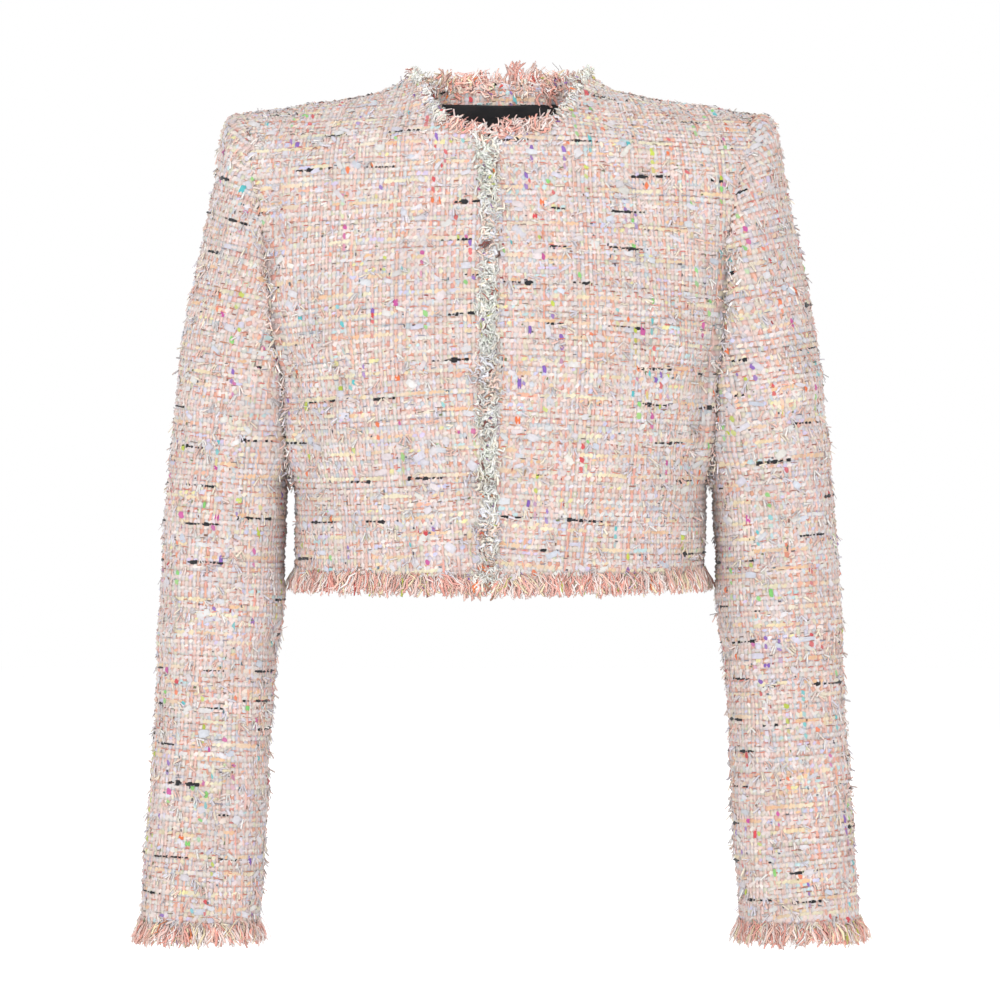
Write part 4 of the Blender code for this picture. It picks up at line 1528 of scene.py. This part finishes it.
def fray_neck(strands, edge, draw, length, slant, behind):
    """Warp ends where the edge runs across, weft ends where it runs up."""
    for per_mm, width in NECK_LAYERS:
        count = round(edge.length * per_mm)
        at, leans, lifts, clump = clumped(draw, edge, count, 9, 0.5, 0.25)
        points, normals, along, out, grain = edge.read(at)
        slope = np.abs(np.sum(along * grain, axis=1))
        aside = np.abs(points[:, 0]) / MM > NECK_SIDE
        steep = slope > draw.uniform(0.6, 0.85, count)
        steep |= aside & (draw.random(count) < 0.75)
        pull = np.array((1.0, 0, 0)) * (slant * np.clip(1 - slope * 1.3, 0, 1))[:, None]
        ways = out + along * leans[:, None] + normals * lifts[:, None] + pull
        deep = draw.uniform(1, 6, (count, 1))
        above = draw.uniform(-2.6 if behind else -1.2, 1.2, (count, 1))
        roots = points - out * deep * MM + normals * above * MM
        turned = draw.random((count, 1)) < (0.7 if behind else 0)
        facing = normals * np.where(turned, -1, 1)
        shades = clump + draw.integers(0, 4, count)
        pale, warm = dyes(draw, WEFTS, 0.05, shades), dyes(draw, ENDS, 0.05, shades)
        dye = np.where(steep[:, None], pale, warm)
        lengths = length * draw.uniform(0.5, 1.2, count)
        lengths = lengths * np.where(slope > 0.7, 0.7, 1) * np.where(aside, 0.62, 1)
        widths = width * draw.uniform(0.6, 1.3, count)
        strands.put(
            roots, ways, facing, lengths, widths, dye, draw,
            # bright=1.3 behind the neck is painted light against the shade inside it
            droop=0.15, curl=0.24, thick=0.5, tips=dye * 0.97, bright=1.3 if behind else 1.05,
        )


def line_neck(strands, edge, draw):
    """More warp ends on the inner side, where the back of the neck shows in the opening."""
    count = round(edge.length * 0.7)
    at, leans, lifts, clump = clumped(draw, edge, count, 12, 0.9, 0.3)
    points, normals, along, out, _ = edge.read(at)
    ways = out * draw.normal(-0.3, 0.7, (count, 1))
    ways = ways + along * leans[:, None] - normals * (0.3 + lifts)[:, None]
    deep, below = draw.uniform(-1, 7, (count, 1)), draw.uniform(2.2, 3.2, (count, 1))
    roots = points - out * deep * MM - normals * below * MM
    dye = dyes(draw, ENDS, 0.06, clump + draw.integers(0, 4, count))
    lengths, widths = draw.uniform(4, 9, count), draw.uniform(0.8, 2.2, count)
    strands.put(
        roots, ways, -normals, lengths, widths, dye, draw,
        # bright=1.75 is painted light: these ends are lighter, against the shade inside the neck
        droop=0.1, curl=0.2, thick=0.5, bright=1.75,
    )


print("the neck is frayed in", len(NECK_LAYERS), "layers")

# %% [markdown]
# A fringe that is only drawn by lot looks too even. A few single locks stand
# out of it: at each place some strands share one root and one way.

# %% Add single locks
LOCKS = (
    # fringe node, place across, strands, length, width, way, spread, first dye, dyes
    ("neck_fringe_back", 9, 16, 24, 1.8, (0.1, 0, 1), 0.12, 0, ENDS),
    ("neck_fringe_back", 20, 18, 23, 1.8, (0.55, 0, 1), 0.14, 3, ENDS),
    ("neck_fringe_back", 33, 22, 20, 2.2, (0.5, -0.5, -0.5), 0.3, 0, ENDS),
    ("neck_fringe_back", 44, 5, 21, 0.5, (-0.2, -0.1, 1), 0.35, 1, ODD_ENDS),
    ("neck_fringe_back", 52, 14, 14, 1.6, (0.2, -0.1, 1), 0.35, 2, ENDS),
    ("neck_fringe_back", -40, 12, 15, 1.6, (0.1, 0, 1), 0.3, 0, ENDS),
    ("neck_fringe_back", -22, 10, 15, 1.6, (-0.3, 0, 1), 0.3, 3, ENDS),
    ("neck_fringe_right", -10, 26, 8, 1.6, (0.5, -0.2, 0.9), 0.5, 0, ENDS),
    ("neck_fringe_left", 1, 26, 8, 1.6, (-0.3, -0.2, 0.9), 0.5, 2, ENDS),
    ("neck_fringe_right", -16, 18, 13, 1.6, (0.8, -0.3, 0.5), 0.4, 5, ENDS),
    ("neck_fringe_left", 8, 16, 12, 1.6, (0.6, -0.3, 0.6), 0.4, 1, ENDS),
    ("neck_fringe_right", -41, 6, 9, 0.9, (-0.6, -0.4, -0.5), 0.4, 2, ODD_ENDS),
)


def add_locks(strands, fringe_node, edge, draw):
    chosen = [row[1:] for row in LOCKS if row[0] == fringe_node]
    for across, count, length, width, way, spread, first, colours in chosen:
        place = edge.at[np.abs(edge.table[:, 0] - across * MM).argmin()]
        points, normals, along, out, _ = edge.read(np.full(count, place))
        aside, deep = draw.normal(0, 2.2, (count, 1)), draw.uniform(0, 4, (count, 1))
        roots = points + along * aside * MM - out * deep * MM
        ways = np.array(way) + draw.normal(0, spread, (count, 3))
        dye = colours[(first + draw.integers(0, 3, count)) % len(colours)]
        lengths = length * draw.uniform(0.6, 1, count)
        widths = width * draw.uniform(0.6, 1.2, count)
        strands.put(
            roots, ways, normals, lengths, widths, dye, draw, droop=0.05, curl=0.12, thick=0.5
        )


print(len(LOCKS), "single locks")

# %% [markdown]
# The last table says how each strip of fringe is frayed, and from which panels.
# Each becomes one mesh, which stands for its strip.

# %% Fray every edge
FRAYS = (
    # fringe node, panels, kind, length in millimetres or share of the band, slant
    ("hem_fringe_left", ("front_left",), "hem", 13.5, 0.12),
    ("hem_fringe_right", ("front_right",), "hem", 13.5, 0.12),
    ("hem_fringe_back", ("back",), "hem", 13.5, 0.0),
    ("cuff_fringe_left", ("sleeve_top_left", "sleeve_under_left"), "hem", 14.5, 0.0),
    ("cuff_fringe_right", ("sleeve_top_right", "sleeve_under_right"), "hem", 14.5, 0.0),
    ("neck_fringe_left", ("front_left",), "neck", 13.0, 0.7),
    ("neck_fringe_right", ("front_right",), "neck", 13.0, 0.7),
    ("neck_fringe_back", ("back",), "neck", 15.0, 0.1),
    ("front_fringe_left", ("front_left",), "front", 0.55, 0),
    ("front_fringe_right", ("front_right",), "front", 1.45, 0),
)
FRAY_RINGS = 5
frays = {}
for fringe_node, panels, kind, length, slant in FRAYS:
    strands, draw = Strands(FRAY_RINGS), dice(fringe_node)
    behind = fringe_node == "neck_fringe_back"
    for panel in panels:
        edge = Edge(panel, fringe_node)
        print(fringe_node, panel, round(edge.length), "mm of edge")
        if kind == "hem":
            fray_hem(strands, edge, draw, length, slant)
        elif kind == "front":
            fray_front(strands, edge, draw, length)
        else:
            fray_neck(strands, edge, draw, length, slant, behind)
        if behind:
            line_neck(strands, edge, draw)
        add_locks(strands, fringe_node, edge, draw)
    slot, material = ("pale_fringe", pale_ends) if kind == "front" else ("coral_fringe", coral_ends)
    frayed = strands.finish("frayed_" + fringe_node, material)
    frays[fringe_node] = declare(frayed, slot, fringe_node)

# %% [markdown]
# ## Eyelash tufts
#
# Short pale hairs stand out of the cloth in tufts. They point down and outwards
# on the sleeves, where they roughen the outline, and lie every way on the body.
# All hairs start at places drawn by lot on a flat pattern.

# %% Find places for hairs
HAIRS = palette(
    (250, 246, 242), (246, 226, 218), (232, 226, 236),
    (250, 236, 214), (244, 200, 186), (214, 208, 210),
)
SQUARE_CM = 10000  # square centimetres in a square metre
HAIR_REACH = 0.1
PRESSED_WITHIN = 14  # where the nap is raised, and no tuft stands out


def anywhere(pattern, draw, density):
    """Places all over a pattern, so many to a square centimetre, that lie on it."""
    low, high = pattern.flat.min(axis=0), pattern.flat.max(axis=0)
    count = round(np.prod(high - low) * SQUARE_CM * density)
    return pattern.lay(draw.uniform(low, high, (count, 2)), HAIR_REACH)[1:]


print(len(HAIRS), "hair dyes")

# %% [markdown]
# Where a sleeve lies against the side of the body, the nap of both is raised.
# Hairs there lie flatter and closer, and those of both sides meet in the crook. They are painted
# lighter than the other hairs, as painted light against the shade of the crook.

# %% Raise the nap in the crook of each sleeve
NAP = 7  # strands in a square centimetre
CROOK = (-300, -125)  # heights
NAP_MIDDLE = -4  # the depth where the strands part to the front and the back


def fill_crook(strands, node, draw):
    """Where a sleeve lies against the side, the nap of both is raised and meets in front."""
    points, normals, across, up = anywhere(patterns[node], draw, NAP)
    height = points[:, 2] / MM
    near = (height > CROOK[0]) & (height < CROOK[1])
    near[near] = beside(node, points[near]) < draw.uniform(3, PRESSED_WITHIN, near.sum())
    points, normals, across, up = points[near], normals[near], across[near], up[near]
    count = len(points)
    ways = normals * 0.5 + up * draw.normal(-0.5, 0.5, (count, 1))
    ways = ways + across * draw.normal(0, 0.3, (count, 1))
    ways[:, 1] += np.sign(points[:, 1] - NAP_MIDDLE * MM) * 0.7
    dye = picked(HAIRS, draw, count)
    lengths, widths = draw.uniform(4, 9, count), draw.uniform(0.8, 2.2, count)
    strands.put(
        points, ways, normals, lengths, widths, dye, draw,
        # bright=1.25 is painted light: lighter than the tufts, against the shade of the crook
        droop=0.1, curl=0.15, thick=0.4, tips=dye, bright=1.25,
    )
    print(node, count, "strands in the crook")


print("the nap is raised from", CROOK[1], "to", CROOK[0], "mm")

# %% [markdown]
# A tuft is two to four hairs that share a place and, roughly, a way. Indexing
# with an owner repeats each tuft's numbers once for every hair in it.

# %% Add the tufts
TUFTS = {
    # node: tufts in a square centimetre, the most hairs in one, how much they hang
    "front_left": (0.4, 4, 0.3),
    "front_right": (0.4, 4, 0.3),
    "back": (0.35, 4, 0.3),
    "sleeve_top_left": (0.5, 4, 0.9),
    "sleeve_under_left": (0.5, 4, 0.9),
    "sleeve_top_right": (0.5, 4, 0.9),
    "sleeve_under_right": (0.5, 4, 0.9),
}
TUFT_RINGS = 3


def scatter_tufts(node, density, most, hang):
    draw = dice(node + " tufts")
    points, normals, across, up = anywhere(patterns[node], draw, density)
    kept = (beside(node, points) > PRESSED_WITHIN) | (points[:, 2] > ROOM[0] * MM)
    count = kept.sum()
    owner = np.repeat(np.arange(count), draw.integers(2, most + 1, count))
    hairs = len(owner)
    points, normals, across, up = (
        column[kept][owner] for column in (points, normals, across, up)
    )
    lean = draw.normal(0, 0.7, count)[owner] + draw.normal(0, 0.5, hairs)
    fall = (-hang + draw.normal(0, 0.45, count))[owner] + draw.normal(0, 0.3, hairs)
    rise = np.abs(draw.normal(0.35, 0.25, hairs))
    ways = across * lean[:, None] + up * fall[:, None] + normals * rise[:, None]
    roots = points + normals * 0.6 * MM + across * draw.normal(0, 0.8, (hairs, 1)) * MM
    dye = HAIRS[(owner + draw.integers(0, 2, hairs)) % len(HAIRS)]
    strands = Strands(TUFT_RINGS)
    fill_crook(strands, node, draw)
    lengths, widths = draw.uniform(3, 7, hairs), draw.uniform(0.8, 2.0, hairs)
    strands.put(
        roots, ways, normals, lengths, widths, dye, draw,
        droop=0.2, curl=0.14, thick=0.35, tips=dye * 0.98, bright=0.97,
    )
    return declare(strands.finish("tufts_" + node, eyelash), "tweed")


tufts = {node: scatter_tufts(node, *row) for node, row in TUFTS.items()}

# %% [markdown]
# ## The label
#
# A plain black tab is sewn inside the back of the neck, with nothing on it. It
# is cut from its CAD solid like a panel, waves a little, and has a run of
# stitches near its rim. Satin weave is smooth, so its finish shows a thin
# upright thread and a soft gloss.

# %% Make the label
TAB = 0.7  # how thick it is
SATIN_PITCH = 0.28  # from one upright thread to the next
LINT = 900.0


def label_finish():
    graph = Graph("black satin tab")
    threads = (graph.own_map("flat")[0] * (2 * math.pi / (SATIN_PITCH * MM))).maths("SINE")
    lint = graph.noise(graph.place(), LINT, 4.0)
    graph.set(
        Base_Color=graph.tinted((0.009, 0.009, 0.011), 0.8 + lint * 0.5 + threads * 0.08),
        Roughness=0.5 + lint * 0.2,
        Normal=graph.bumped(threads * 0.4 + lint, 0.08 * MM, 0.6),
        Sheen_Weight=0.08,
        Specular_IOR_Level=0.4,
    )
    return graph.material


satin = label_finish()
OUTWARD["neck_label"] = (0, -1, 0)
tab = cut_skin("neck_label")
label_pattern = Pattern("neck_label", tab)
across, up = (label_pattern.flat / MM).T
wave = 0.18 * np.sin(across / 9.0) + 0.12 * np.sin(up / 5.0 + across / 16.0)
label_pattern.move(label_pattern.points + label_pattern.normals * wave[:, None] * MM)
thicken("neck_label", tab, (satin,), TAB, "black_label")
print("label", (label_pattern.size * 1000).round(1), "mm")

# %% [markdown]
# A stitch is a small float of thread, so the label is sewn with the same tool
# that wove the cloth. A line of stitches runs along each of its four sides.

# %% Stitch the label
STITCH_PITCH, STITCH_INSET = 3.0, 1.7
thread = linear(38, 38, 42)
low = label_pattern.flat.min(axis=0) / MM + STITCH_INSET
high = label_pattern.flat.max(axis=0) / MM - STITCH_INSET
stitches, draw = Floats(), dice("stitches")
for fixed, turn in ((0, UPRIGHT), (1, 0)):
    for side in (low, high):
        running = np.arange(low[1 - fixed] + 1, high[1 - fixed], STITCH_PITCH)
        place = [running, running]
        place[fixed] = np.full(len(running), side[fixed])
        stitches.put("stitch", *place, turn, np.tile(thread, (len(running), 1)), draw)
sewn = stitches.finish("stitches_neck_label", label_pattern, tweed_yarn)
label_thread = declare(sewn, "black_label")

# %% [markdown]
# ## Sheets
#
# For every cloth shell, the size that its flat pattern was cut to and the number of pieces that go
# with it are printed.

first_panel = {fringe_node: panels[0] for fringe_node, panels, *_ in FRAYS}
for node, pattern in patterns.items():
    fringes = [piece for name, piece in frays.items() if first_panel[name] == node]
    more = [neck_lining] if node == "back" else []
    size = (pattern.size * 1000).round()
    print(node, "cut", size, "mm, with", len(fringes + more) + 2, "pieces")

# %% [markdown]
# ## Camera, floor and light
#
# The camera looks straight at the front from far off, level with the middle of
# the jacket. The floor and the world are white and matt.

# %% Set up the camera, the floor and the world
AWAY, LEVEL = 3.2, -0.312  # where the camera stands, in metres
HALF_VIEW = 0.378  # how much it sees to each side, in metres
SENSOR = 36
FLOOR_LEVEL, FLOOR_SIZE = -0.72, 14

camera_data = bpy.data.cameras.new("camera")
camera_data.sensor_width = SENSOR
camera_data.lens = SENSOR / 2 / (HALF_VIEW / AWAY)
camera = new_object("camera", camera_data)
camera.location = (0, -AWAY, LEVEL)
camera.rotation_euler = (UPRIGHT, 0, 0)
bpy.context.scene.camera = camera

bpy.ops.mesh.primitive_plane_add(size=FLOOR_SIZE, location=(0, 0, FLOOR_LEVEL))
floor = bpy.context.object
floor.name = "floor"
floor_graph = Graph("pale floor")
floor_graph.set(Base_Color=(1, 1, 1, 1), Roughness=1.0, Specular_IOR_Level=0.0)
floor.data.materials.append(floor_graph.material)

world = bpy.data.worlds.new("studio")
world.use_nodes = True
world.node_tree.nodes["Background"].inputs["Color"].default_value = (1, 1, 1, 1)
world.node_tree.nodes["Background"].inputs["Strength"].default_value = 1.0
bpy.context.scene.world = world
bpy.context.scene.view_settings.view_transform = "Standard"
print("the lens is", round(camera_data.lens, 1), "mm")

# %% [markdown]
# Five softboxes light the jacket gently, three from the front and two from
# behind. None of them reaches down into the neck, so a narrow spot lamp with a
# soft rim lights the inside of the back there.

# %% Hang the lamps
SOFTBOXES = (
    # name, place and aim in metres, size in metres, watts
    ("key", (-1.3, -3.0, 0.5), (0, 0, -0.3), 1.6, 30),
    ("fill", (1.3, -3.0, 0.2), (0, 0, -0.3), 1.6, 12),
    ("front", (0, -3.4, -0.1), (0, 0, -0.3), 1.2, 30),
    ("rim", (2.0, 2.6, 1.0), (0, 0, -0.25), 1.8, 34),
    ("rear", (-2.2, 2.6, 0.4), (0, 0, -0.3), 1.8, 24),
)
BEAM = math.radians(3.4)  # the full angle of the spot lamp


def hang(name, lamp, place, aim):
    """Put a lamp in its place and turn it to what it lights."""
    light = new_object(name, lamp)
    light.location = place
    light.rotation_euler = (Vector(aim) - Vector(place)).to_track_quat("-Z", "Y").to_euler()


for name, place, aim, size, power in SOFTBOXES:
    softbox = bpy.data.lights.new(name, "AREA")
    softbox.size, softbox.energy = size, power
    hang(name, softbox, place, aim)
spot = bpy.data.lights.new("neck", "SPOT")
spot.energy, spot.spot_size, spot.spot_blend, spot.shadow_soft_size = 200, BEAM, 1.0, 0.15
hang("neck", spot, (0, -3.0, 0.35), (0, 0.06, 0.0))
print(len(SOFTBOXES), "softboxes and a spot lamp")

# %% [markdown]
# ## Triangles, and the end
#
# All that the script added is counted, in triangles.

# %% Triangles, and the end
ADDED = ("cloth", "yarns", "tufts", "fray", "stitch")
added = [thing.data for thing in bpy.data.objects if thing.name.startswith(ADDED)]
print("triangles in all:", sum(len(face.vertices) - 2 for mesh in added for face in mesh.polygons))
